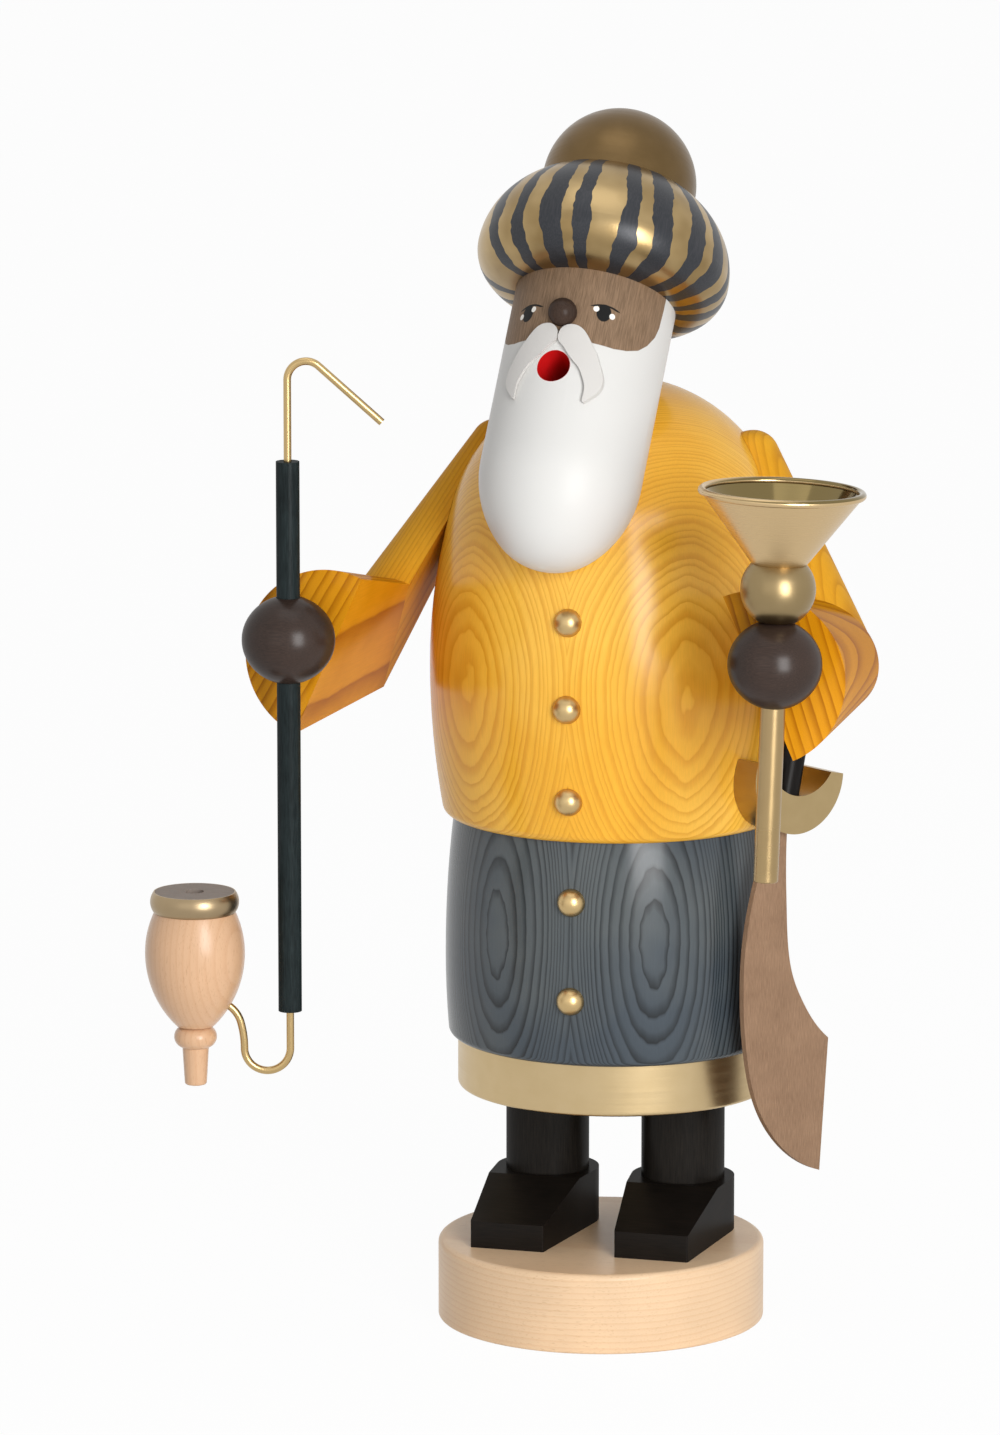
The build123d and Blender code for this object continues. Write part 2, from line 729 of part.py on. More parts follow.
# The right arm's pieces are the left ones mirrored
for piece, name in ((left_forearm, "forearm"), (left_upper_arm, "upper_arm"),
                    (left_shoulder_dowel, "shoulder_dowel"), (left_elbow_dowel, "elbow_dowel"),
                    (left_wrist_dowel, "wrist_dowel")):
    with BuildPart() as mirrored:
        mirror(piece.part, about=Plane.YZ)
    save(piece, "left_" + name)
    save(mirrored, "right_" + name)


def flipped(place):
    """the same place on the figure's right side"""
    return Vector(-place.X, place.Y, place.Z)


# Arcs of a hand's outline: one round its side, and flatter ones over its crown and foot
hand_side_arc = hand_side_share * min(hand_radius, hand_half_height)
hand_side_centre = hand_radius - hand_side_arc
hand_cap_arc = (hand_half_height**2 + hand_side_centre**2 - hand_side_arc**2) / (
    2 * (hand_half_height - hand_side_arc))
hand_turn = degrees(atan2(hand_cap_arc - hand_half_height, hand_side_centre))


def hand_solid(centre, grip_axis, grip_hole, ahead, dowel_start):
    """a turned ball with a flat at the cuff, bored for what it holds and for its wrist dowel"""
    with BuildPart() as hand:
        aside = ahead.cross(grip_axis)
        section = Plane(origin=centre, x_dir=aside, z_dir=aside.cross(grip_axis))
        with BuildSketch(section):
            with BuildLine():
                CenterArc((0, hand_half_height - hand_cap_arc), hand_cap_arc, start_angle=hand_turn,
                          arc_size=90 - hand_turn)
                CenterArc((hand_side_centre, 0), hand_side_arc, start_angle=-hand_turn,
                          arc_size=2 * hand_turn)
                CenterArc((0, hand_cap_arc - hand_half_height), hand_cap_arc, start_angle=-90,
                          arc_size=90 - hand_turn)
                Line((0, -hand_half_height), (0, hand_half_height))
            make_face()
        revolve(axis=Axis(centre, section.y_dir))
        split(bisect_by=Plane(origin=centre - ahead * (hand_radius - hand_flat), z_dir=ahead), keep=Keep.TOP)
        crown = centre + grip_axis * (hand_half_height - hand_crown_flat)
        split(bisect_by=Plane(origin=crown, z_dir=-grip_axis), keep=Keep.TOP)
        add(rod(centre - grip_axis * (hand_half_height + overrun), grip_axis, grip_hole,
                2 * (hand_half_height + overrun)), mode=Mode.SUBTRACT)
        add(rod(dowel_start + ahead * end_gap, -ahead, wrist_dowel_radius + glue_gap,
                wrist_dowel_in_hand + overrun), mode=Mode.SUBTRACT)
    return hand


# Hands: the right one holds the pipe upright and the left one the leaning torch
lean_left = tan(radians(torch_lean_left))
lean_back = tan(radians(torch_lean_back))
torch_up = Vector(lean_left, lean_back, 1).normalized()
right_hand_centre = flipped(left_hand_centre)
left_hand = hand_solid(left_hand_centre, torch_up, torch_rod_radius + glue_gap, arm_ahead, wrist_start)
save(left_hand, "left_hand")
right_hand = hand_solid(right_hand_centre, upward, stem_radius + glue_gap, flipped(arm_ahead),
                        flipped(wrist_start))
save(right_hand, "right_hand")

# Pipe stem, a stained dowel bored at both ends for the wires
stem_top = right_hand_centre + upward * stem_above
stem_foot = right_hand_centre - upward * stem_below
with BuildPart() as pipe_stem:
    add(rod(stem_foot, upward, stem_radius, stem_above + stem_below))
    add(rod(stem_top + upward * overrun, -upward, wire_radius + glue_gap,
            wire_hole_depth + end_gap + overrun), mode=Mode.SUBTRACT)
    add(rod(stem_foot - upward * overrun, upward, wire_radius + glue_gap,
            wire_hole_depth + end_gap + overrun), mode=Mode.SUBTRACT)
save(pipe_stem, "pipe_stem")

# Mouthpiece, a brass wire that rises, bends over and falls towards the mouth
pipe_side = Vector(cos(radians(pipe_bearing)), sin(radians(pipe_bearing)), 0)
fall = radians(mouthpiece_fall)
with BuildPart() as pipe_mouthpiece:
    with BuildLine(Plane(origin=stem_top, x_dir=pipe_side, z_dir=pipe_side.cross(upward))):
        Line((0, -wire_hole_depth), (0, mouthpiece_rise))
        bend = CenterArc((mouthpiece_bend, mouthpiece_rise), mouthpiece_bend, start_angle=180,
                         arc_size=-(90 + mouthpiece_fall))
        bend_end = (mouthpiece_bend * (1 + sin(fall)), mouthpiece_rise + mouthpiece_bend * cos(fall))
        Line(bend_end, (bend_end[0] + mouthpiece_run * cos(fall), bend_end[1] - mouthpiece_run * sin(fall)))
    with BuildSketch(Plane(origin=stem_top - upward * wire_hole_depth, z_dir=upward)):
        Circle(wire_radius)
    sweep()
save(pipe_mouthpiece, "pipe_mouthpiece")

# Lower wire, a U under the stem whose far end bends into the bowl
bowl_plane = Plane(origin=stem_foot, x_dir=-pipe_side, z_dir=-pipe_side.cross(upward))
u_far = 2 * bowl_wire_bend
lean_end = (u_far + bowl_wire_lean, -bowl_wire_drop + bowl_wire_lean_rise)
entry_end = (lean_end[0] + bowl_wire_entry, lean_end[1] + bowl_wire_entry_rise)
with BuildPart() as pipe_wire:
    with BuildLine(bowl_plane):
        Line((0, wire_hole_depth), (0, -bowl_wire_drop))
        CenterArc((bowl_wire_bend, -bowl_wire_drop), bowl_wire_bend, start_angle=180, arc_size=180)
        leaning = TangentArc((u_far, -bowl_wire_drop), lean_end, tangent=upward)
        entering = TangentArc(lean_end, entry_end, tangent=leaning % 1)
        wire_entry = entering @ 1
        wire_along = entering % 1
    with BuildSketch(Plane(origin=stem_foot + upward * wire_hole_depth, z_dir=-upward)):
        Circle(wire_radius)
    sweep()
    add(rod(wire_entry, wire_along, wire_radius, bowl_wire_reach))
save(pipe_wire, "pipe_wire")

# Pipe bowl, one turning with its neck bead and tapered peg
bowl_axis_foot = stem_foot - pipe_side * bowl_distance
bowl_section = Plane(origin=bowl_axis_foot, x_dir=-pipe_side, z_dir=-pipe_side.cross(upward))
bead_centre_drop = bowl_neck_drop + bead_height / 2
bead_side = bead_radius - bead_height / 2
peg_start = -bowl_neck_drop - bead_height
bowl_lid_seat = bowl_top_rise - bowl_lid_height
with BuildPart() as pipe_bowl:
    with BuildSketch(bowl_section):
        with BuildLine():
            belly = (bowl_radius, bowl_belly_rise)
            TangentArc(belly, (bowl_lip_radius, bowl_top_rise - bowl_ring_height), tangent=(0, 1))
            TangentArc(belly, (bowl_neck_radius, -bowl_neck_drop), tangent=(0, -1))
            Polyline((bowl_neck_radius, -bowl_neck_drop), (0, -bowl_neck_drop),
                     (0, bowl_lid_seat), (bowl_collar_radius, bowl_lid_seat),
                     (bowl_collar_radius, bowl_top_rise - bowl_ring_height),
                     (bowl_lip_radius, bowl_top_rise - bowl_ring_height))
        make_face()
        with BuildLine():
            CenterArc((bead_side, -bead_centre_drop), bead_height / 2, start_angle=-90, arc_size=180)
            Polyline((bead_side, -bowl_neck_drop), (0, -bowl_neck_drop), (0, peg_start),
                     (bead_side, peg_start))
        make_face()
        with BuildLine():
            Polyline((0, -bead_centre_drop), (peg_top_radius, -bead_centre_drop),
                     (peg_top_radius, peg_start), (peg_foot_radius, peg_start - peg_length),
                     (0, peg_start - peg_length), close=True)
        make_face()
        fillet(vertices_at((peg_foot_radius, peg_start - peg_length)), peg_rounding)
    revolve(axis=Axis(bowl_axis_foot, upward))
    bowl_top = bowl_axis_foot + upward * bowl_top_rise
    add(rod(bowl_top + upward * overrun, -upward, bowl_lid_hole_radius,
            bowl_lid_hole_depth + overrun), mode=Mode.SUBTRACT)
    add(rod(wire_entry - wire_along * wire_radius, wire_along, wire_radius + glue_gap,
            wire_radius + bowl_wire_reach + end_gap), mode=Mode.SUBTRACT)
save(pipe_bowl, "pipe_bowl")

# Gold ring round the bowl's top, with the brown lid let into it
ring_foot = bowl_top_rise - bowl_ring_height
ring_middle = bowl_top_rise - bowl_ring_height / 2
lid_recess = bowl_lid_radius + glue_gap
ring_edge = lid_recess + bowl_ring_lip
collar_hole = bowl_collar_radius + glue_gap
with BuildPart() as bowl_ring:
    with BuildSketch(bowl_section):
        with BuildLine():
            ThreePointArc((ring_edge, ring_foot), (bowl_ring_radius, ring_middle), (ring_edge, bowl_top_rise))
            Polyline((ring_edge, bowl_top_rise), (lid_recess, bowl_top_rise), (lid_recess, bowl_lid_seat),
                     (collar_hole, bowl_lid_seat), (collar_hole, ring_foot), (ring_edge, ring_foot))
        make_face()
    revolve(axis=Axis(bowl_axis_foot, upward))
save(bowl_ring, "bowl_ring")
with BuildPart() as bowl_lid:
    add(rod(bowl_top, -upward, bowl_lid_radius, bowl_lid_height))
    add(rod(bowl_top + upward * overrun, -upward, bowl_lid_hole_radius, 2 * overrun + bowl_lid_height),
        mode=Mode.SUBTRACT)
save(bowl_lid, "bowl_lid")

# Torch: a rod through the left hand, a ball, and a spun brass cup held by a screw
torch_section = Plane(origin=left_hand_centre, x_dir=arm_ahead - torch_up * arm_ahead.dot(torch_up),
                      z_dir=arm_ahead.cross(torch_up))
torch_axis = Axis(left_hand_centre, torch_up)
ball_foot = hand_half_height - hand_crown_flat
with BuildPart() as torch_rod:
    with BuildSketch(Plane(origin=left_hand_centre - torch_up * torch_rod_below, z_dir=torch_up)):
        Circle(torch_rod_radius)
    extrude(amount=torch_rod_below + torch_cup_rise)
    fillet(torch_rod.edges().filter_by(GeomType.CIRCLE).sort_by(Axis.Z)[0], torch_rod_rounding)
    add(rod(left_hand_centre + torch_up * (torch_cup_rise + overrun), -torch_up,
            torch_screw_radius + glue_gap, torch_screw_length + overrun), mode=Mode.SUBTRACT)
save(torch_rod, "torch_rod")

with BuildPart() as torch_ball:
    add(Solid.make_sphere(torch_ball_radius, Plane(origin=left_hand_centre + torch_up * torch_ball_rise)))
    split(bisect_by=Plane(origin=left_hand_centre + torch_up * ball_foot, z_dir=torch_up), keep=Keep.TOP)
    split(bisect_by=Plane(origin=left_hand_centre + torch_up * torch_cup_rise, z_dir=-torch_up),
          keep=Keep.TOP)
    add(rod(left_hand_centre, torch_up, torch_rod_radius + glue_gap, torch_cup_rise + overrun),
        mode=Mode.SUBTRACT)
save(torch_ball, "torch_ball")

cup_top = torch_cup_rise + torch_cup_height
cup_side_run = torch_cup_radius - torch_cup_foot_radius
cup_wall_across = torch_cup_wall * sqrt(cup_side_run**2 + torch_cup_height**2) / torch_cup_height
cup_floor_radius = torch_cup_foot_radius - cup_wall_across + cup_side_run * torch_cup_floor / torch_cup_height
with BuildPart() as torch_cup:
    with BuildSketch(torch_section):
        with BuildLine():
            Polyline((0, torch_cup_rise), (torch_cup_foot_radius, torch_cup_rise),
                     (torch_cup_radius, cup_top), (torch_cup_radius - cup_wall_across, cup_top),
                     (cup_floor_radius, torch_cup_rise + torch_cup_floor),
                     (0, torch_cup_rise + torch_cup_floor), close=True)
        make_face()
        with Locations((torch_cup_radius - cup_wall_across / 2, cup_top)):
            Circle(torch_cup_roll)
    revolve(axis=torch_axis)
    add(rod(left_hand_centre, torch_up, torch_screw_radius + glue_gap, cup_top), mode=Mode.SUBTRACT)
save(torch_cup, "torch_cup")

screw_seat = left_hand_centre + torch_up * (torch_cup_rise + torch_cup_floor)
with BuildPart() as torch_screw:
    add(rod(screw_seat, torch_up, torch_screw_head_radius, torch_screw_head))
    add(rod(screw_seat, -torch_up, torch_screw_radius, torch_screw_length))
save(torch_screw, "torch_screw")

# Plane of the sword: upright, facing out over the left hip, with the sword tilted in it
bearing = radians(sword_bearing)
sword_out = Vector(sin(bearing), -cos(bearing), 0)
sword_along = Vector(cos(bearing), sin(bearing), 0)
sword_turn = radians(sword_tilt)
sword_across = sword_along * cos(sword_turn) - upward * sin(sword_turn)
sword_up = upward * cos(sword_turn) + sword_along * sin(sword_turn)
sword_place = (body_foot + sword_out * (jacket_belly_radius + sword_proud) + sword_along * sword_aside
               + upward * (waist + sword_rise))
sword_plane = Plane(origin=sword_place, x_dir=sword_across, z_dir=sword_out)
blade_inset = grip_inset - blade_thickness / 2


def on_sword(across, up, inset):
    """a place in the sword, by its distances across, up and behind the guard's front"""
    return sword_place + sword_across * across + sword_up * up - sword_out * inset


# Blade, sawn from a thin board with a straight tang that stands in the guard
with BuildPart() as sword_blade:
    with BuildSketch(sword_plane.offset(-blade_inset)):
        with BuildLine():
            back = Spline((-blade_tang_back, -blade_tang_foot),
                          *[(across * blade_reach, -down * blade_length)
                            for across, down in blade_back_shares])
            edge = Spline(*[(across * blade_reach, -down * blade_length)
                            for across, down in blade_edge_shares],
                          (blade_tang_front, -blade_tang_foot))
            Line(back @ 1, edge @ 0)
            Polyline(edge @ 1, (blade_tang_front, -blade_tang_top), (-blade_tang_back, -blade_tang_top),
                     back @ 0)
        make_face()
    extrude(amount=-blade_thickness)
save(sword_blade, "sword_blade")

guard_dowel_place = on_sword(0, -guard_dowel_drop, guard_dowel_inset)
guard_front_radius = jacket_belly_radius + sword_proud
guard_dowel_length = guard_front_radius - guard_dowel_inset - sqrt(jacket_hem_radius**2 - sword_aside**2) \
    + guard_dowel_in_jacket

# Guard, a crescent sawn from a turned ring and coped to the jacket
with BuildPart() as sword_guard:
    with BuildSketch(sword_plane):
        with Locations((0, guard_centre_rise)):
            Circle(guard_radius)
        with Locations((0, guard_hollow_radius)):
            Circle(guard_hollow_radius, mode=Mode.SUBTRACT)
        with Locations((0, guard_horn_rise + guard_radius)):
            Rectangle(2 * guard_radius, 2 * guard_radius, mode=Mode.SUBTRACT)
    extrude(amount=-guard_depth)
    add(jacket_form(glue_gap), mode=Mode.SUBTRACT)
    with BuildSketch(sword_plane.offset(glue_gap - blade_inset)):
        with Locations((-blade_tang_back - glue_gap, glue_gap - blade_tang_top)):
            Rectangle(blade_tang_back + blade_tang_front + 2 * glue_gap,
                      blade_tang_foot - blade_tang_top + overrun, align=(Align.MIN, Align.MAX))
    extrude(amount=-blade_thickness - 2 * glue_gap, mode=Mode.SUBTRACT)
    add(rod(on_sword(0, overrun, grip_inset), -sword_up, grip_tenon_radius + glue_gap,
            grip_tenon + overrun), mode=Mode.SUBTRACT)
    add(rod(guard_dowel_place + sword_out * end_gap, -sword_out, guard_dowel_radius + glue_gap,
            guard_depth), mode=Mode.SUBTRACT)
save(sword_guard, "sword_guard")

with BuildPart() as guard_dowel:
    add(rod(guard_dowel_place, -sword_out, guard_dowel_radius, guard_dowel_length))
save(guard_dowel, "guard_dowel")

# Grip, a stained dowel with a rounded end and a tenon in the guard
with BuildPart() as sword_grip:
    add(rod(on_sword(0, 0, grip_inset), sword_up, grip_radius, grip_length))
    fillet(sword_grip.edges().filter_by(GeomType.CIRCLE).sort_by(Axis.Z)[-1], grip_rounding)
    with BuildSketch(sword_plane):
        with Locations((0, guard_hollow_radius)):
            Circle(guard_hollow_radius + grip_length)
            Circle(guard_hollow_radius - glue_gap, mode=Mode.SUBTRACT)
        with Locations((0, guard_hollow_radius + grip_length)):
            Rectangle(2 * grip_length, 2 * grip_length, mode=Mode.SUBTRACT)
    extrude(amount=-2 * grip_inset - grip_radius, both=True, mode=Mode.SUBTRACT)
    add(rod(on_sword(0, grip_radius, grip_inset), -sword_up, grip_tenon_radius,
            grip_radius + grip_tenon))
save(sword_grip, "sword_grip")

# Jacket, turned from glued boards and hollowed for the smoke
jacket_buttons = {
    name: button_seat(waist + rise, jacket_belly_radius, jacket_belly_height, arc_radius)
    for name, rise, arc_radius in (
        ("jacket_button_upper", jacket_button_rise_high, jacket_side_arc),
        ("jacket_button_middle", jacket_button_rise_mid, jacket_hem_arc),
        ("jacket_button_lower", jacket_button_rise_low, jacket_hem_arc),
    )
}
with BuildPart() as jacket:
    add(jacket_form(0))
    with BuildSketch(body_section):
        with BuildLine():
            CenterArc((0, chamber_spring), chamber_radius, start_angle=0, arc_size=90)
            Polyline((0, chamber_spring + chamber_radius), (0, waist - overrun),
                     (chamber_radius, waist - overrun), (chamber_radius, chamber_spring))
        make_face()
    revolve(axis=body_axis, mode=Mode.SUBTRACT)
    add(head_form(glue_gap), mode=Mode.SUBTRACT)
    add(rod(riser_foot, upward, riser_radius, mouth_end.Z - chamber_spring), mode=Mode.SUBTRACT)
    add(rod(head_dowel_place + head_face * overrun, -head_face, head_dowel_radius + glue_gap,
            head_dowel_depth + end_gap + overrun), mode=Mode.SUBTRACT)
    shoulder_hole = rod(shoulder_dowel_start, -arm_out, shoulder_dowel_radius + glue_gap,
                        shoulder_dowel_in_arm + shoulder_dowel_in_jacket + end_gap)
    add(shoulder_hole, mode=Mode.SUBTRACT)
    add(shoulder_hole.mirror(Plane.YZ), mode=Mode.SUBTRACT)
    add(rod(guard_dowel_place, -sword_out, guard_dowel_radius + glue_gap,
            guard_dowel_length + end_gap), mode=Mode.SUBTRACT)
    for seat, outward in jacket_buttons.values():
        add(button_hole(seat, outward), mode=Mode.SUBTRACT)
save(jacket, "jacket")

# Buttons, half beads with a flat back and a peg
for name, (seat, outward) in (jacket_buttons | skirt_buttons).items():
    with BuildPart() as button:
        add(Solid.make_sphere(button_radius, Plane(origin=seat - outward * button_sink)))
        split(bisect_by=Plane(origin=seat, z_dir=outward), keep=Keep.TOP)
        add(rod(seat, -outward, button_peg_radius, button_peg_length))
    save(button, name)
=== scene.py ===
import math

import bmesh
import bpy
from mathutils import Matrix, Vector


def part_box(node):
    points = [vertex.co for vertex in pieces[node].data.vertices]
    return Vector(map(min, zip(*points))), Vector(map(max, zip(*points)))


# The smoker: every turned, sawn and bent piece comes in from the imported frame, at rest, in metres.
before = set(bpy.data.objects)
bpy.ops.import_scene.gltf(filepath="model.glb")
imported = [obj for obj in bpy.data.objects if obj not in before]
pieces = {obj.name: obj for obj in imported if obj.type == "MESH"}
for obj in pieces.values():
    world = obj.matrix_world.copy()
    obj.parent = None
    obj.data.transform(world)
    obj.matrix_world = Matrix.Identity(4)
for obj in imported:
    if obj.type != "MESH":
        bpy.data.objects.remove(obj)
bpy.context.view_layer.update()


# Base disc: a faceplate turning in pale beech, sanded and sealed with a clear satin lacquer.
# Beech shows faint growth rings and many short dark ray flecks that run with the fibre.
MM = 0.001
BEECH_PALE, BEECH_RING, BEECH_FLECK = "#E9C9A4", "#DDB48B", "#C39A70"
BEECH_RING_WIDTH = 2.6 * MM
# Lengths given to a noise are its periods: a fleck comes out about half as long and half as wide
BEECH_FLECK_LENGTH, BEECH_FLECK_WIDTH = 3.4 * MM, 0.4 * MM
BEECH_RING_WAVE, BEECH_BLOTCH = 45.45 * MM, 33.33 * MM
BEECH_FLECK_STRENGTH = 0.38


def linear(hex_colour):
    """An sRGB hex colour as the linear colour that a shader takes."""
    parts = [int(hex_colour[i:i + 2], 16) / 255 for i in (1, 3, 5)]
    return [p / 12.92 if p <= 0.04045 else ((p + 0.055) / 1.055) ** 2.4 for p in parts] + [1.0]


def put(tree, kind, inputs=None, out=0, stops=(), **settings):
    """Adds a node with its settings, values and links, and gives one of its outputs.

    Inputs go by name or number. A map range takes 0 its value, 1 and 2 its range, 3 and 4 the new
    range. A colour mix takes 0 its share, 6 and 7 the two colours, and gives output 2.
    Stops are the places and greys of a colour ramp.
    """
    node = tree.nodes.new("ShaderNode" + kind)
    for name, value in settings.items():
        setattr(node, name, value)
    for key, value in (inputs or {}).items():
        if isinstance(value, bpy.types.NodeSocket):
            tree.links.new(value, node.inputs[key])
        else:
            node.inputs[key].default_value = value
    if stops:
        ramp = node.color_ramp
        while len(ramp.elements) < len(stops):
            ramp.elements.new(1.0)
        for element, (position, grey) in zip(ramp.elements, stops):
            element.position = position
            element.color = (grey, grey, grey, 1)
    return node.outputs[out] if node.outputs else None


def open_surface(name):
    """Starts a material and gives it with its empty node tree."""
    material = bpy.data.materials.new(name)
    material.use_nodes = True
    tree = material.node_tree
    tree.nodes.clear()
    return material, tree


def close_surface(tree, colour, roughness, bump=None, bump_height=0.05 * MM, **shader):
    """Ends a material: the principled shader with its colour, its roughness and its bump."""
    inputs = {"Base Color": colour, "Roughness": roughness}
    inputs.update({key.replace("_", " "): value for key, value in shader.items()})
    if bump is not None:
        inputs["Normal"] = put(tree, "Bump", {"Height": bump, "Distance": bump_height, "Strength": 1.0})
    surface = put(tree, "BsdfPrincipled", inputs)
    put(tree, "OutputMaterial", {"Surface": surface})


def board_place(tree, origin, across, through):
    """Object coordinates turned to a board: across its face, through its thickness, along its fibre."""
    across, through = Vector(across).normalized(), Vector(through).normalized()
    turned = Matrix((across, through, across.cross(through)))
    return put(tree, "Mapping", {
        "Vector": put(tree, "TexCoord", out="Object"),
        "Rotation": turned.to_euler(),
        "Location": -(turned @ Vector(origin)),
    }, vector_type="POINT")


def beech(name, pale, ring, fleck, origin, across, through, roughness=0.42, coat=0.15,
          ring_strength=0.5, wobble=5 * MM):
    """Sealed beech: soft rings through the board, short flecks along it and a little blotching."""
    material, tree = open_surface(name)
    board = board_place(tree, origin, across, through)
    bend = put(tree, "TexNoise", {
        "Vector": put(tree, "VectorMath", {0: board, 1: (1, 1, 0.25)}, operation="MULTIPLY"),
        "Scale": 1 / BEECH_RING_WAVE, "Detail": 3.0})
    depth = put(tree, "Math", {0: bend, 1: wobble, 2: put(tree, "SeparateXYZ", {0: board}, out="Y")},
                operation="MULTIPLY_ADD")
    year = put(tree, "Math", {0: depth, 1: BEECH_RING_WIDTH}, operation="DIVIDE")
    rings = put(tree, "ValToRGB", {0: put(tree, "Math", {0: year}, operation="FRACT")},
                stops=[(0.0, 0.0), (0.55, 0.15), (0.9, 1.0), (1.0, 0.0)])
    grain = put(tree, "TexNoise", {
        "Vector": put(tree, "VectorMath", {
            0: board, 1: (1 / BEECH_FLECK_WIDTH, 1 / BEECH_FLECK_WIDTH, 1 / BEECH_FLECK_LENGTH)},
            operation="MULTIPLY"),
        "Scale": 1.0, "Detail": 2.0})
    flecks = put(tree, "ValToRGB", {0: grain}, stops=[(0.58, 0.0), (0.70, 1.0)])
    blotch = put(tree, "TexNoise", {"Vector": board, "Scale": 1 / BEECH_BLOTCH, "Detail": 2.0})
    ringed = put(tree, "Mix", {
        0: put(tree, "Math", {0: rings, 1: ring_strength}, operation="MULTIPLY"),
        6: linear(pale), 7: linear(ring)}, out=2, data_type="RGBA")
    flecked = put(tree, "Mix", {
        0: put(tree, "Math", {0: flecks, 1: BEECH_FLECK_STRENGTH}, operation="MULTIPLY"),
        6: ringed, 7: linear(fleck)}, out=2, data_type="RGBA")
    toned = put(tree, "HueSaturation", {
        "Color": flecked,
        "Value": put(tree, "MapRange", {0: blotch, 1: 0.3, 2: 0.7, 3: 0.94, 4: 1.05})})
    close_surface(tree, toned, roughness, bump=flecks, bump_height=-0.02 * MM, Specular_IOR_Level=0.3,
                  Coat_Weight=coat, Coat_Roughness=0.25)
    return material


def dress(material, *names):
    """Gives a material to whole pieces of the frame."""
    for name in names:
        slots = pieces[name].data.materials
        slots.clear()
        slots.append(material)


base_beech = beech("beech_base_satin_lacquer", BEECH_PALE, BEECH_RING, BEECH_FLECK,
                   (0, 0, 0), (0, 1, 0.04), (0, -0.04, 1))
dress(base_beech, "base_disc")


# Legs and shoes: turned and sawn beech, stained black-brown and rubbed to a low satin.
# The stain leaves the pores and saw marks a little darker, so faint streaks show.
SHOE_STAIN, LEG_STAIN, SHOE_STREAK = "#211C18", "#27231F", "#110F0D"
STAIN_CLOUD = 16.67 * MM
# Share of the fine streaks in the stain's unevenness, the rest being clouds, and half its range
STREAK_SHARE, STAIN_HALF_RANGE = 0.7, 0.22


def dark_stain(name, stain, streak, roughness, across=(1, 0, 0), through=(0, 1, 0),
               streak_width=0.5 * MM, streak_length=9 * MM, spread=1.0, coat=0.2, coat_roughness=0.3):
    """Close-grained wood under a dark stain: fine streaks along the fibre and uneven take-up."""
    material, tree = open_surface(name)
    board = board_place(tree, (0, 0, 0), across, through)
    streaks = put(tree, "TexNoise", {
        "Vector": put(tree, "VectorMath", {
            0: board, 1: (1 / streak_width, 1 / streak_width, 1 / streak_length)}, operation="MULTIPLY"),
        "Scale": 1.0, "Detail": 3.0, "Roughness": 0.6})
    clouds = put(tree, "TexNoise", {"Vector": board, "Scale": 1 / STAIN_CLOUD, "Detail": 2.0})
    taken = put(tree, "Math", {
        0: streaks, 1: STREAK_SHARE,
        2: put(tree, "Math", {0: clouds, 1: 1 - STREAK_SHARE}, operation="MULTIPLY")},
        operation="MULTIPLY_ADD")
    half_range = STAIN_HALF_RANGE / spread
    share = put(tree, "MapRange", {0: taken, 1: 0.5 - half_range, 2: 0.5 + half_range, 3: 0.0, 4: 1.0})
    colour = put(tree, "Mix", {0: share, 6: linear(stain), 7: linear(streak)}, out=2, data_type="RGBA")
    close_surface(tree, colour, roughness, bump=streaks, bump_height=-0.03 * MM,
                  Specular_IOR_Level=0.0, Coat_Weight=coat, Coat_Roughness=coat_roughness)
    return material


shoe_stain = dark_stain("beech_black_brown_stain", SHOE_STAIN, SHOE_STREAK, 0.48,
                        across=(0, 1, 0), through=(0, 0, 1))
leg_stain = dark_stain("turned_beech_black_brown_stain", LEG_STAIN, SHOE_STREAK, 0.42)
dress(shoe_stain, "right_shoe", "left_shoe")
dress(leg_stain, "right_leg", "left_leg")


# Hem ring: a turned beech disc under gold bronze paint, sprayed and lightly burnished.
# Bronze paint is a fine metal flake, so it shines softly, with faint turning marks round it.
BODY_AXIS = Vector((0, 22 * MM, 0))
HEM_GOLD, HEM_GOLD_SHADE = "#C6AF86", "#BCA478"
GOLD_MOTTLE = 8.333 * MM


def gold_paint(name, gold, shade, roughness, axis_origin=BODY_AXIS, axis_across=(1, 0, 0),
               axis_through=(0, 1, 0), marks=0.35 * MM, relief=0.0):
    """Bronze paint on turned wood: metal flake, faint turning marks and a slight mottle."""
    material, tree = open_surface(name)
    place = board_place(tree, axis_origin, axis_across, axis_through)
    rings = put(tree, "TexNoise", {
        "Vector": put(tree, "VectorMath", {0: place, 1: (20, 20, 1 / marks)}, operation="MULTIPLY"),
        "Scale": 1.0, "Detail": 2.0})
    mottle = put(tree, "TexNoise", {"Vector": place, "Scale": 1 / GOLD_MOTTLE, "Detail": 3.0})
    colour = put(tree, "Mix", {
        0: put(tree, "MapRange", {0: mottle, 1: 0.35, 2: 0.65, 3: 0.0, 4: 0.3}),
        6: linear(gold), 7: linear(shade)}, out=2, data_type="RGBA")
    rough = put(tree, "MapRange", {0: rings, 1: 0.3, 2: 0.7, 3: roughness - 0.04, 4: roughness + 0.05})
    close_surface(tree, colour, rough, bump=rings, bump_height=relief, Metallic=1.0)
    return material


hem_gold = gold_paint("gold_bronze_paint_satin", HEM_GOLD, HEM_GOLD_SHADE, 0.34, relief=0.002 * MM)
dress(hem_gold, "hem_ring")


# Skirt: a barrel turned from two glued pine boards, stained blue-grey and sealed.
# The boards' rings stand as sheets, mirrored at the front seam, so the bulge cuts them into ovals.
UP = Vector((0, 0, 1))
SKIRT_EARLY, SKIRT_EARLY_COOL, SKIRT_LATE = "#555B5D", "#424B53", "#15191C"
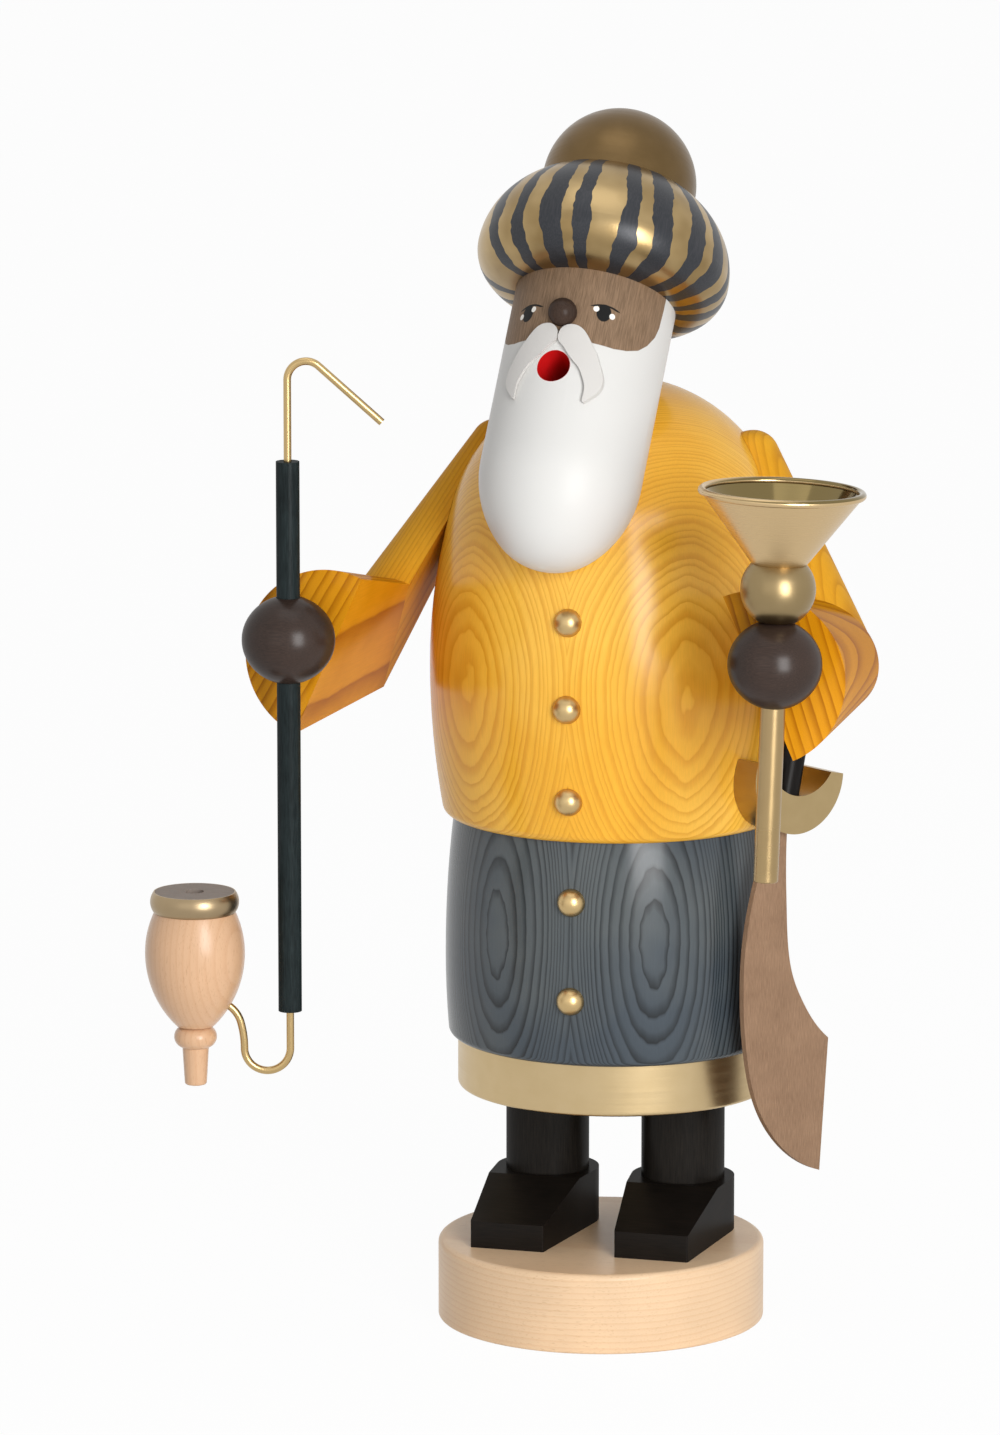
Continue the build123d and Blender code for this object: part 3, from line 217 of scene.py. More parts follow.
# Depth of each year line under the board's face: wide early years, then narrow ones towards the seam
SKIRT_YEARS = tuple(mark * MM for mark in (0.25, 0.85, 1.7, 2.7, 3.7, 4.4, 5.0, 5.5, 6.0, 6.5, 7.1))
SKIRT_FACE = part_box("skirt")[1][0] - BODY_AXIS.x + 0.1 * MM
PINE_ROUGHNESS, PINE_PINCH = 0.36, 0.05
PINE_FIBRE_WIDTH, PINE_FIBRE_LENGTH, PINE_FIBRE_STREAK = 0.45 * MM, 12 * MM, 0.05
PINE_FADE, PINE_BLOTCH = 25 * MM, 62.5 * MM


def stained_pine(name, early, early_deep, late, origin, across, through, ring_width, lean,
                 fold=True, pinch_at=None, late_share=0.25, ring_strength=0.8, wobble=0.8 * MM,
                 wobble_length=38.46 * MM, coat=0.3, coat_roughness=0.12, uneven=0.4, low_band=0.2,
                 rising=0.0, bow=0.0, face=None, years_at=()):
    """Pine under a clear stain: sheets of soft early wood that end in hard dark late wood.

    The sheets lean by lean degrees and bend along the board by rising and bow. Folded boards are
    mirrored at the seams. Years lie at years_at under the face, and then a ring_width apart.
    """
    material, tree = open_surface(name)
    board = board_place(tree, origin, across, through)
    side, thick, along = put(tree, "SeparateXYZ", {0: board}).node.outputs
    if fold:
        side = put(tree, "Math", {0: side}, operation="ABSOLUTE")
        thick = put(tree, "Math", {0: thick}, operation="ABSOLUTE")
    bend = put(tree, "TexNoise", {
        "Vector": put(tree, "VectorMath", {0: board, 1: (1, 1, 0.5)}, operation="MULTIPLY"),
        "Scale": 1 / wobble_length, "Detail": 4.0, "Roughness": 0.62})
    bent = put(tree, "MapRange", {0: bend, 1: 0.2, 2: 0.8, 3: -wobble, 4: wobble}, clamp=False)
    leaned = put(tree, "Math", {
        0: side, 1: math.sin(math.radians(lean)),
        2: put(tree, "Math", {0: thick, 1: math.cos(math.radians(lean))}, operation="MULTIPLY")},
        operation="MULTIPLY_ADD")
    if pinch_at:
        aside = put(tree, "Math", {0: put(tree, "Math", {0: side, 1: pinch_at}, operation="SUBTRACT")},
                    operation="ABSOLUTE")
        leaned = put(tree, "Math", {0: aside, 1: -PINE_PINCH, 2: leaned}, operation="MULTIPLY_ADD")
    slope = put(tree, "Math", {0: along, 1: bow, 2: rising}, operation="MULTIPLY_ADD")
    depth = put(tree, "Math", {
        0: slope, 1: along, 2: put(tree, "Math", {0: leaned, 1: bent}, operation="ADD")},
        operation="MULTIPLY_ADD")
    if years_at:
        under = put(tree, "Math", {0: face, 1: depth}, operation="SUBTRACT")
        share = put(tree, "MapRange", {0: under, 1: 0.0, 2: years_at[-1], 3: 0.0, 4: 1.0})
        line = put(tree, "ValToRGB", {0: share}, stops=[(0.0, 0.0)] + [
            (mark / years_at[-1], (n + 1) / len(years_at)) for n, mark in enumerate(years_at)])
        beyond = put(tree, "Math", {
            0: put(tree, "Math", {0: under, 1: years_at[-1]}, operation="SUBTRACT"), 1: 0.0},
            operation="MAXIMUM")
        count = put(tree, "Math", {
            0: line, 1: float(len(years_at)),
            2: put(tree, "Math", {0: beyond, 1: ring_width}, operation="DIVIDE")},
            operation="MULTIPLY_ADD")
    else:
        count = put(tree, "Math", {0: depth, 1: ring_width}, operation="DIVIDE")
    years = put(tree, "TexNoise", {
        "W": put(tree, "Math", {0: count, 1: 0.55}, operation="MULTIPLY"), "Scale": 1.0, "Detail": 1.0},
        noise_dimensions="1D")
    count = put(tree, "Math", {0: years, 1: uneven * 3, 2: count}, operation="MULTIPLY_ADD")
    # Each year starts pale, darkens over its last part and ends in a hard line
    ring = put(tree, "ValToRGB", {0: put(tree, "Math", {0: count}, operation="FRACT")}, stops=[
        (0.0, low_band), (0.08, 0.02), (0.95 - late_share * 1.6, 0.14),
        (0.95 - late_share * 0.5, 0.75), (0.94, 1.0), (1.0, low_band)])
    fade = put(tree, "TexNoise", {
        "Vector": put(tree, "VectorMath", {0: board, 1: (1, 1, 0.4)}, operation="MULTIPLY"),
        "Scale": 1 / PINE_FADE, "Detail": 2.0})
    strength = put(tree, "MapRange", {0: fade, 1: 0.3, 2: 0.7, 3: ring_strength * 0.65, 4: ring_strength})
    fibres = put(tree, "TexNoise", {
        "Vector": put(tree, "VectorMath", {
            0: board, 1: (1 / PINE_FIBRE_WIDTH, 1 / PINE_FIBRE_WIDTH, 1 / PINE_FIBRE_LENGTH)},
            operation="MULTIPLY"),
        "Scale": 1.0, "Detail": 3.0, "Roughness": 0.65})
    blotch = put(tree, "TexNoise", {"Vector": board, "Scale": 1 / PINE_BLOTCH, "Detail": 3.0})
    ground = put(tree, "Mix", {
        0: put(tree, "MapRange", {0: blotch, 1: 0.38, 2: 0.62, 3: 0.0, 4: 1.0}),
        6: linear(early), 7: linear(early_deep)}, out=2, data_type="RGBA")
    lined = put(tree, "Mix", {
        0: put(tree, "Math", {0: ring, 1: strength}, operation="MULTIPLY"),
        6: ground, 7: linear(late)}, out=2, data_type="RGBA")
    toned = put(tree, "HueSaturation", {
        "Color": lined,
        "Value": put(tree, "MapRange", {
            0: fibres, 1: 0.3, 2: 0.7, 3: 1 + PINE_FIBRE_STREAK, 4: 1 - PINE_FIBRE_STREAK})})
    close_surface(tree, toned, PINE_ROUGHNESS, bump=ring, bump_height=0.02 * MM, Specular_IOR_Level=0.0,
                  Coat_Weight=coat, Coat_Roughness=coat_roughness)
    return material


blue_pine = stained_pine("pine_blue_grey_stain", SKIRT_EARLY, SKIRT_EARLY_COOL, SKIRT_LATE,
                         BODY_AXIS + UP * 148 * MM, (1, 0, 0), (0, -1, 0), 1.2 * MM, 28.5,
                         late_share=0.28, ring_strength=1.0, coat=0.8, coat_roughness=0.2,
                         wobble=0.26 * MM, low_band=0.3, uneven=0.1, rising=-0.03, bow=0.15,
                         face=SKIRT_FACE, years_at=SKIRT_YEARS)
dress(blue_pine, "skirt")


# Cone dish and its nails: brass sheet pressed to a saucer and nailed on top of the skirt.
# Sheet brass is bright, with fine rolling lines.
def brass(name, colour, roughness, grain, bump_height=0.0, spread=0.2):
    """Drawn or rolled brass: a warm bright metal with fine lines from the tool."""
    material, tree = open_surface(name)
    place = put(tree, "TexCoord", out="Object")
    lines = put(tree, "TexNoise", {
        "Vector": put(tree, "VectorMath", {0: place, 1: grain}, operation="MULTIPLY"),
        "Scale": 1.0, "Detail": 3.0})
    rough = put(tree, "MapRange", {
        0: lines, 1: 0.3, 2: 0.7, 3: roughness * (1 - spread), 4: roughness * (1 + spread)})
    close_surface(tree, linear(colour), rough, bump=lines, bump_height=bump_height, Metallic=1.0)
    return material


rolled_brass = brass("rolled_brass", "#D8B468", 0.28, (1 / (0.3 * MM), 40, 40), bump_height=0.002 * MM)
dress(rolled_brass, "cone_dish", "dish_nails")


# Jacket: a hollow barrel turned from glued pine boards, stained yellow-orange and given gloss lacquer.
# The sheets of its rings fold at the front seam, and bend a little at the next seam on each side.
JACKET_EARLY, JACKET_EARLY_DEEP, JACKET_LATE = "#F5BF4A", "#EDAF32", "#CC820C"
orange_pine = stained_pine("pine_orange_stain_gloss", JACKET_EARLY, JACKET_EARLY_DEEP, JACKET_LATE,
                           BODY_AXIS + UP * 269 * MM, (1, 0, 0), (0, -1, 0), 1.3 * MM, 38,
                           pinch_at=45 * MM, late_share=0.3, ring_strength=0.66,
                           coat=0.7, coat_roughness=0.22, wobble=0.8 * MM, bow=-1.0)
dress(orange_pine, "jacket")


# Buttons: half beads turned on a peg, painted gold and glued into the front on the seam's line.
# They were rolled in the paint, so the metal is even and each bead holds one soft highlight.
button_gold = gold_paint("gold_bronze_paint_buttons", "#C8AD7C", "#BEA271", 0.36, marks=0.3 * MM)
dress(button_gold, "jacket_button_upper", "jacket_button_middle", "jacket_button_lower",
      "skirt_button_upper", "skirt_button_lower")


# Head: a beech capsule, its beard sprayed white and its face left in the brown stain.
# Eyes are painted by hand: a black oval, two white dots and one lash. The bored mouth is red inside.
HEAD_TURN, HEAD_TILT = math.radians(4), math.radians(32.9)
head_ahead = Vector((-math.sin(HEAD_TURN), -math.cos(HEAD_TURN), 0))
head_left = Vector((math.cos(HEAD_TURN), -math.sin(HEAD_TURN), 0))
head_face = head_ahead * math.cos(HEAD_TILT) + UP * math.sin(HEAD_TILT)
head_anchor = BODY_AXIS + UP * 357.0 * MM + head_ahead * 68.2 * MM
HEAD_RADIUS = 32.7 * MM
MOUTH_RISE, MOUTH_RADIUS = 33 * MM, 6.8 * MM
BEARD_WHITE = "#D9D8D5"
FACE_BROWN, FACE_BROWN_DARK = "#8E745C", "#6F5944"
MOUTH_RED = "#D21A1C"
EYE_BLACK, EYE_DOT_WHITE = "#020202", "#F4F1EA"
# The beard's edge: bearing from the nose in degrees, and rise up the head in mm
BEARD_EDGE = ((0, 45), (40, 45), (50, 46.2), (59.5, 48.6), (67, 52.6), (73.6, 58), (76.6, 63),
              (78, 72), (79, 95))
BEARD_EDGE_TURN, BEARD_EDGE_RISE = 90, 100
# Bearings between which the stained face gives way to white at the sides
FACE_END = (77.85, 78.3)
PORE_WIDTH, PORE_LENGTH = 0.42 * MM, 7 * MM
# Half width and half height of the painted ovals, in mm
EYE_OVAL, EYE_DOT = (3.0, 3.7), (1.2, 1.25)
LASH_HALF_WIDTH, PAINT_EDGE = 0.3, 0.2
# Each eye, in mm round the head and up it: its oval, its dots, and its lash's centre, radius and low end
EYES = (
    ((16.0, 58.8), ((12.7, 59.9), (19.6, 58.2)), (16.4, 49.0), 13.0, 60.6),
    ((-17.6, 57.2), ((-14.6, 58.6), (-21.2, 56.4)), (-16.4, 48.0), 12.6, 59.0),
)


def head_paint():
    """The head's finishes: sprayed beard, stained face, hand-painted eyes and the red mouth bore."""
    material, tree = open_surface("head_paint")
    place = board_place(tree, head_anchor, head_left, -head_face)
    aside, behind, up = put(tree, "SeparateXYZ", {0: place}).node.outputs
    ahead = put(tree, "Math", {0: behind, 1: -1.0}, operation="MULTIPLY")
    bearing = put(tree, "Math", {0: aside, 1: ahead}, operation="ARCTAN2")
    across = put(tree, "Math", {0: bearing, 1: HEAD_RADIUS / MM}, operation="MULTIPLY")
    rise = put(tree, "Math", {0: up, 1: 1 / MM}, operation="MULTIPLY")
    spot = put(tree, "CombineXYZ", {0: across, 1: rise})

    # The beard ends along its edge, and goes all round behind the face
    turned = put(tree, "Math", {
        0: put(tree, "Math", {0: bearing}, operation="ABSOLUTE"),
        1: math.radians(BEARD_EDGE_TURN)}, operation="DIVIDE")
    edge = put(tree, "FloatCurve", {"Value": turned})
    curve = edge.node.mapping.curves[0]
    for index, (angle, height) in enumerate(BEARD_EDGE):
        location = (angle / BEARD_EDGE_TURN, height / BEARD_EDGE_RISE)
        if index < 2:
            curve.points[index].location = location
        else:
            curve.points.new(*location)
    for point in curve.points:
        point.handle_type = "VECTOR"
    edge.node.mapping.update()
    above = put(tree, "Math", {
        0: rise, 1: put(tree, "Math", {0: edge, 1: float(BEARD_EDGE_RISE)}, operation="MULTIPLY")},
        operation="SUBTRACT")
    bare = put(tree, "MapRange", {0: above, 1: -0.12, 2: 0.12, 3: 0.0, 4: 1.0})
    front = put(tree, "MapRange", {
        0: turned, 1: FACE_END[0] / BEARD_EDGE_TURN, 2: FACE_END[1] / BEARD_EDGE_TURN, 3: 1.0, 4: 0.0})
    skin = put(tree, "Math", {0: bare, 1: front}, operation="MULTIPLY")
    grain = put(tree, "TexNoise", {
        "Vector": put(tree, "VectorMath", {
            0: place, 1: (1 / PORE_WIDTH, 1 / PORE_WIDTH, 1 / PORE_LENGTH)}, operation="MULTIPLY"),
        "Scale": 1.0, "Detail": 3.0, "Roughness": 0.6})
    brown = put(tree, "Mix", {
        0: put(tree, "MapRange", {0: grain, 1: 0.36, 2: 0.66, 3: 0.0, 4: 1.0}),
        6: linear(FACE_BROWN), 7: linear(FACE_BROWN_DARK)}, out=2, data_type="RGBA")
    colour = put(tree, "Mix", {0: skin, 6: linear(BEARD_WHITE), 7: brown}, out=2, data_type="RGBA")

    def painted(ground, shade, centre, half_sizes):
        """Paints an oval on the head, by its centre and its half sizes in mm."""
        offset = put(tree, "VectorMath", {
            0: put(tree, "VectorMath", {0: spot, 1: (*centre, 0)}, operation="SUBTRACT"),
            1: (*half_sizes, 1)}, operation="DIVIDE")
        far = put(tree, "VectorMath", {0: offset, 1: offset}, out="Value", operation="DOT_PRODUCT")
        mask = put(tree, "MapRange", {0: far, 1: 0.92, 2: 1.08, 3: 1.0, 4: 0.0})
        return put(tree, "Mix", {0: mask, 6: ground, 7: linear(shade)}, out=2, data_type="RGBA")

    for oval, dots, lash_centre, lash_radius, lash_low in EYES:
        colour = painted(colour, EYE_BLACK, oval, EYE_OVAL)
        for dot in dots:
            colour = painted(colour, EYE_DOT_WHITE, dot, EYE_DOT)
        reach = put(tree, "VectorMath", {0: spot, 1: (*lash_centre, 0)}, out="Value", operation="DISTANCE")
        off = put(tree, "Math", {0: put(tree, "Math", {0: reach, 1: lash_radius}, operation="SUBTRACT")},
                  operation="ABSOLUTE")
        line = put(tree, "MapRange", {
            0: off, 1: LASH_HALF_WIDTH, 2: LASH_HALF_WIDTH + PAINT_EDGE, 3: 1.0, 4: 0.0})
        kept = put(tree, "MapRange", {0: rise, 1: lash_low, 2: lash_low + 0.3, 3: 0.0, 4: 1.0})
        lash = put(tree, "Math", {0: line, 1: kept}, operation="MULTIPLY")
        colour = put(tree, "Mix", {0: lash, 6: colour, 7: linear(EYE_BLACK)}, out=2, data_type="RGBA")

    # The mouth's bore is red from its rim inwards
    from_mouth = put(tree, "VectorMath", {
        0: put(tree, "CombineXYZ", {0: aside, 1: up}), 1: (0, MOUTH_RISE, 0)}, out="Value",
        operation="DISTANCE")
    bored = put(tree, "MapRange", {
        0: from_mouth, 1: MOUTH_RADIUS + 0.05 * MM, 2: MOUTH_RADIUS + 0.1 * MM, 3: 1.0, 4: 0.0})
    inner = put(tree, "MapRange", {0: ahead, 1: -1 * MM, 2: 0.0, 3: 0.0, 4: 1.0})
    red = put(tree, "Math", {0: bored, 1: inner}, operation="MULTIPLY")
    colour = put(tree, "Mix", {0: red, 6: colour, 7: linear(MOUTH_RED)}, out=2, data_type="RGBA")

    # The spray stands a hair proud of the stained wood, whose pores stay open
    rough = put(tree, "MapRange", {0: skin, 1: 0.0, 2: 1.0, 3: 0.38, 4: 0.55})
    height = put(tree, "Math", {
        0: skin, 1: -0.9, 2: put(tree, "Math", {0: grain, 1: skin}, operation="MULTIPLY")},
        operation="MULTIPLY_ADD")
    close_surface(tree, colour, rough, bump=height, Specular_IOR_Level=0.22)
    return material


dress(head_paint(), "head")


# Nose: a small turned beech bead in dark brown stain, glued into the face on a peg.
# The stain is rubbed on, so fine darker streaks run through a soft satin.
nose_stain = dark_stain("turned_bead_dark_brown", "#4D3D34", "#30251F", 0.42,
                        streak_width=0.35 * MM, streak_length=5 * MM)
dress(nose_stain, "nose")


# Moustache: two leaves fretted from thin wood, bent to the head, their edges rounded.
# Both are sprayed white and glued on beside the mouth, and the spray leaves a faint peel.
SPRAY_PEEL, SPRAY_CLOUD = 1.111 * MM, 16.67 * MM


def sprayed_white(name, white):
    """White spray paint on thin wood: nearly even, with the fine peel of the drops."""
    material, tree = open_surface(name)
    place = put(tree, "TexCoord", out="Object")
    peel = put(tree, "TexNoise", {"Vector": place, "Scale": 1 / SPRAY_PEEL, "Detail": 2.0})
    tone = put(tree, "TexNoise", {"Vector": place, "Scale": 1 / SPRAY_CLOUD, "Detail": 2.0})
    colour = put(tree, "HueSaturation", {
        "Color": linear(white),
        "Value": put(tree, "MapRange", {0: tone, 1: 0.3, 2: 0.7, 3: 0.98, 4: 1.01})})
    close_surface(tree, colour, 0.42, bump=peel, bump_height=0.01 * MM,
                  Coat_Weight=0.15, Coat_Roughness=0.3)
    return material


moustache_white = sprayed_white("white_satin_spray", "#CFCCC8")
dress(moustache_white, "left_moustache", "right_moustache")


# Turban: a turned gold ball with brushed dark stripes that run from the dome to the curled underside.
# The stripes are laid on by hand, so their edges wander and their widths differ.
# The dome let into its top is a plain gold ball, coloured much darker than the turban as painted dark
# reflection of the ceiling.
# The stripes' black, and the lighter grey of painted sheen along their brush marks
STRIPE_DARK, STRIPE_BRUSHED_SHEEN = "#24272C", "#35353A"
TURBAN_GOLD, TURBAN_GOLD_DEEP = "#AE966C", "#88714A"
# Middle and width of each stripe at the turban's widest level, in degrees from the nose to the left
STRIPES = ((-172, 9), (-155, 7), (-137, 10), (-118, 8), (-100, 7), (-81, 9), (-44.5, 8), (-29, 8),
           (-9.2, 11), (5.5, 7), (28, 9.5), (44.2, 8.7), (62.3, 10), (79.5, 10), (97, 7), (110, 8),
           (128, 10), (146, 7), (163, 9))
# How far a stripe's edge wanders and jags, in degrees, and over what length
STRIPE_WANDER, STRIPE_WANDER_LENGTH = 4.0, 29.41 * MM
STRIPE_JAG, STRIPE_JAG_LENGTH = 0.6, 4.762 * MM
BRUSH_WIDTH, BRUSH_LENGTH, GOLD_CLOUD = 0.5 * MM, 14 * MM, 20 * MM


def turban_paint():
    """Gold bronze paint with the hand-laid stripes, whose edges wander and whose paint is brushed, its
    streaks lightened as painted sheen.
    """
    material, tree = open_surface("turban_gold_with_hand_laid_stripes")
    place = board_place(tree, head_anchor, head_left, -head_face)
    aside, behind, _ = put(tree, "SeparateXYZ", {0: place}).node.outputs
    ahead = put(tree, "Math", {0: behind, 1: -1.0}, operation="MULTIPLY")
    bearing = put(tree, "Math", {0: aside, 1: ahead}, operation="ARCTAN2")
    wander = put(tree, "TexNoise", {
        "Vector": place, "Scale": 1 / STRIPE_WANDER_LENGTH, "Detail": 1.0, "Roughness": 0.4})
    jags = put(tree, "TexNoise", {"Vector": place, "Scale": 1 / STRIPE_JAG_LENGTH, "Detail": 1.0})
    shift = put(tree, "Math", {
        0: put(tree, "MapRange", {
            0: wander, 1: 0.25, 2: 0.75, 3: -STRIPE_WANDER / 360, 4: STRIPE_WANDER / 360}),
        1: put(tree, "MapRange", {0: jags, 1: 0.3, 2: 0.7, 3: -STRIPE_JAG / 360, 4: STRIPE_JAG / 360})},
        operation="ADD")
    turn = put(tree, "Math", {
        0: put(tree, "Math", {0: bearing, 1: math.tau}, operation="DIVIDE"), 1: shift}, operation="ADD")
    halves = []
    for first, last in ((-180, 0), (0, 180)):
        stops = [(0.0, 0.0)]
        for middle, width in STRIPES:
            if first < middle < last:
                for angle, dark in ((middle - width / 2, 1.0), (middle + width / 2, 0.0)):
                    stops.append(((angle - first) / (last - first), dark))
        half = put(tree, "MapRange", {0: turn, 1: first / 360, 2: last / 360, 3: 0.0, 4: 1.0})
        halves.append(put(tree, "ValToRGB", {0: half}, stops=stops))
        halves[-1].node.color_ramp.interpolation = "CONSTANT"
    stripe = put(tree, "Math", {0: halves[0], 1: halves[1]}, operation="MAXIMUM")
    brushed = put(tree, "TexNoise", {
        "Vector": put(tree, "VectorMath", {
            0: place, 1: (1 / BRUSH_WIDTH, 1 / BRUSH_WIDTH, 1 / BRUSH_LENGTH)}, operation="MULTIPLY"),
        "Scale": 1.0, "Detail": 2.0})
    # The brush marks are real; the lighter colour along them is painted sheen.
    dark = put(tree, "Mix", {
        0: put(tree, "MapRange", {0: brushed, 1: 0.4, 2: 0.7, 3: 0.0, 4: 0.8}),
        6: linear(STRIPE_DARK), 7: linear(STRIPE_BRUSHED_SHEEN)}, out=2, data_type="RGBA")
    clouds = put(tree, "TexNoise", {"Vector": place, "Scale": 1 / GOLD_CLOUD, "Detail": 2.0})
    bright = put(tree, "Mix", {
        0: put(tree, "MapRange", {0: clouds, 1: 0.35, 2: 0.65, 3: 0.0, 4: 0.8}),
        6: linear(TURBAN_GOLD), 7: linear(TURBAN_GOLD_DEEP)}, out=2, data_type="RGBA")
    colour = put(tree, "Mix", {0: stripe, 6: bright, 7: dark}, out=2, data_type="RGBA")
    metal = put(tree, "MapRange", {0: stripe, 1: 0.0, 2: 1.0, 3: 1.0, 4: 0.25})
    rough = put(tree, "MapRange", {0: stripe, 1: 0.0, 2: 1.0, 3: 0.3, 4: 0.38})
    close_surface(tree, colour, rough, bump=brushed, bump_height=0.01 * MM, Metallic=metal)
    return material


dress(turban_paint(), "turban")
# Both golds of the dome are darkened as painted dark reflection of the ceiling above it.
dome_gold_painted_dark = gold_paint("gold_bronze_paint_dome_painted_dark", "#6E593B", "#5D4A2D", 0.34, axis_origin=head_anchor,
                       axis_across=head_left, axis_through=head_face, marks=0.5 * MM,
                       relief=0.006 * MM)
dress(dome_gold_painted_dark, "turban_dome")


# Arms: half cones turned in pairs from flat-sawn pine, so their flat inner faces lie with the rings.
# The cuffs show end grain as bold dark bands, and all are in the jacket's stain and gloss.
ARM_LEAN, ARM_SPLAY = math.radians(23.9), math.radians(2.3)
arm_side = Vector((math.cos(ARM_SPLAY), math.sin(ARM_SPLAY), 0))
arm_ahead = Vector((math.sin(ARM_SPLAY), -math.cos(ARM_SPLAY), 0))
arm_out = arm_side * math.cos(ARM_LEAN) + UP * math.sin(ARM_LEAN)
arm_up = UP * math.cos(ARM_LEAN) - arm_side * math.sin(ARM_LEAN)
cuff_corner = Vector((102.8, -90.8, 254.6)) * MM
UPPER_ARM_SLOPE = math.radians(66.75)
upper_arm_along = -arm_ahead * math.cos(UPPER_ARM_SLOPE) + arm_up * math.sin(UPPER_ARM_SLOPE)


SIDES = ("left", "right")


def on_side(side, vector):
    """A vector of the left arm, mirrored for the right one."""
    return Vector((-vector.x if side == "right" else vector.x, vector.y, vector.z))


for side in SIDES:
    corner, out, along = on_side(side, cuff_corner), on_side(side, arm_out), on_side(side, arm_ahead)
    forearm_pine = stained_pine(f"pine_orange_{side}_forearm", "#E29A20", "#D38B10", "#9C5406",
                                corner + out * 0.6 * MM, out.cross(along), out, 4.0 * MM, 7,
                                fold=False, late_share=0.3, ring_strength=0.9, coat=0.15,
                                coat_roughness=0.12, wobble=0.7 * MM, wobble_length=62.5 * MM)
    upper_arm_pine = stained_pine(f"pine_orange_{side}_upper_arm", "#E4A62C", "#D9961C", "#B87414",
                                  corner + out * 1.2 * MM, out.cross(on_side(side, upper_arm_along)),
                                  out, 2.2 * MM, 12, fold=False, late_share=0.25, ring_strength=0.66,
                                  coat=0.15, coat_roughness=0.2, wobble=0.8 * MM,
                                  wobble_length=62.5 * MM)
    dress(forearm_pine, side + "_forearm")
    dress(upper_arm_pine, side + "_upper_arm")


# Dowels: bare beech pins, sawn from rod and glued inside the joints and the head.
# They are out of sight, so the wood is left pale and matt.
dowel_beech = beech("beech_dowel_bare", "#E6C9A0", "#D6B284", "#B98F63", (0, 0, 0), (1, 0, 0),
                    (0, 1, 0), roughness=0.6, coat=0.0)
dress(dowel_beech, "turban_dowel", "head_dowel", "guard_dowel",
      *[f"{side}_{joint}_dowel" for side in SIDES for joint in ("shoulder", "elbow", "wrist")])


# Hands: flattened beech balls, turned, bored upright for the pipe and the torch and pegged to the cuffs.
# The dark brown stain is polished, so each holds a small soft highlight.
for side in SIDES:
    hand_stain = dark_stain(f"turned_ball_dark_brown_{side}", "#40312A", "#291F1A", 0.36,
                            across=(0, 0, 1), through=on_side(side, arm_ahead),
                            streak_width=0.4 * MM, streak_length=6 * MM, coat=0.5, coat_roughness=0.28)
    dress(hand_stain, side + "_hand")


# Pipe: a green-black stained dowel, drawn brass wire for mouthpiece and shank, and a turned maple bowl.
# The bowl is lacquered clear, so its fine rings and flecks show, under a gold ring and a grey-brown lid.
stem_stain = dark_stain("beech_green_black_stain", "#273031", "#121819", 0.4,
                        streak_width=0.55 * MM, streak_length=7 * MM, spread=1.3)
dress(stem_stain, "pipe_stem")
drawn_brass = brass("drawn_brass_wire", "#BDA272", 0.26, (60, 60, 60), spread=0.05)
dress(drawn_brass, "pipe_mouthpiece", "pipe_wire")
bowl_maple = beech("maple_bowl_satin_lacquer", "#D8AF8A", "#CA9870", "#B4835C", (-0.15, -0.09, 0),
                   (0.2, 1, 0), (1, -0.2, 0), roughness=0.3, coat=0.3, ring_strength=0.35,
                   wobble=2 * MM)
dress(bowl_maple, "pipe_bowl")
ring_gold = gold_paint("gold_bronze_paint_bowl_ring", "#A38F70", "#947F62", 0.33, marks=0.3 * MM)
dress(ring_gold, "bowl_ring")
lid_stain = dark_stain("turned_lid_grey_brown", "#A0958D", "#887D74", 0.5, across=(0, 0, 1),
                       through=(0, 1, 0), streak_length=5 * MM)
dress(lid_stain, "bowl_lid")


# Torch: a gold painted rod and ball, and a cup spun from brass sheet and screwed on.
# The cup is satin outside, with fine lines round it, and polished inside, where its dark colour is painted
# reflection.
rod_gold = gold_paint("gold_bronze_paint_rod", "#A89068", "#A0885F", 0.28, marks=9 * MM)
dress(rod_gold, "torch_rod")
ball_gold = gold_paint("gold_bronze_paint_ball", "#988460", "#8E7A55", 0.33, marks=0.3 * MM)
dress(ball_gold, "torch_ball")
# The second colour is for the inside of the cone, darkened as painted dark reflection of the room.
CUP_SATIN, CUP_PAINTED_REFLECTION = "#CBB085", "#7D6D48"
CUP_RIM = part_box("torch_cup")[1][2]
SPIN_LINE = 0.4 * MM
# Depths under the rim between which the satin lip gives way to the polished cone
POLISH_START = (0.8 * MM, 1.5 * MM)


def spun_cup():
    """Spun brass: satin on the outside and the rim, polished within the cone, whose dark colour is painted
    reflection.
    """
    material, tree = open_surface("spun_brass_satin_polished_painted_dark_inside")
    place = put(tree, "TexCoord").node.outputs
    facing = put(tree, "SeparateXYZ", {0: place["Normal"]}, out="Z")
    upward = put(tree, "MapRange", {0: facing, 1: 0.2, 2: 0.3, 3: 0.0, 4: 1.0})
    level = put(tree, "SeparateXYZ", {0: place["Object"]}, out="Z")
    below_rim = put(tree, "MapRange", {
        0: level, 1: CUP_RIM - POLISH_START[1], 2: CUP_RIM - POLISH_START[0], 3: 1.0, 4: 0.0})
    within = put(tree, "Math", {0: upward, 1: below_rim}, operation="MULTIPLY")
    lines = put(tree, "TexNoise", {"W": level, "Scale": 1 / SPIN_LINE, "Detail": 2.0},
                noise_dimensions="1D")
    colour = put(tree, "Mix", {0: within, 6: linear(CUP_SATIN), 7: linear(CUP_PAINTED_REFLECTION)}, out=2,
                 data_type="RGBA")
    rough = put(tree, "Math", {
        0: put(tree, "MapRange", {0: within, 1: 0.0, 2: 1.0, 3: 0.3, 4: 0.12}),
        1: put(tree, "MapRange", {0: lines, 1: 0.3, 2: 0.7, 3: -0.03, 4: 0.03})}, operation="ADD")
    close_surface(tree, colour, rough, Metallic=1.0)
    return material


dress(spun_cup(), "torch_cup", "torch_screw")


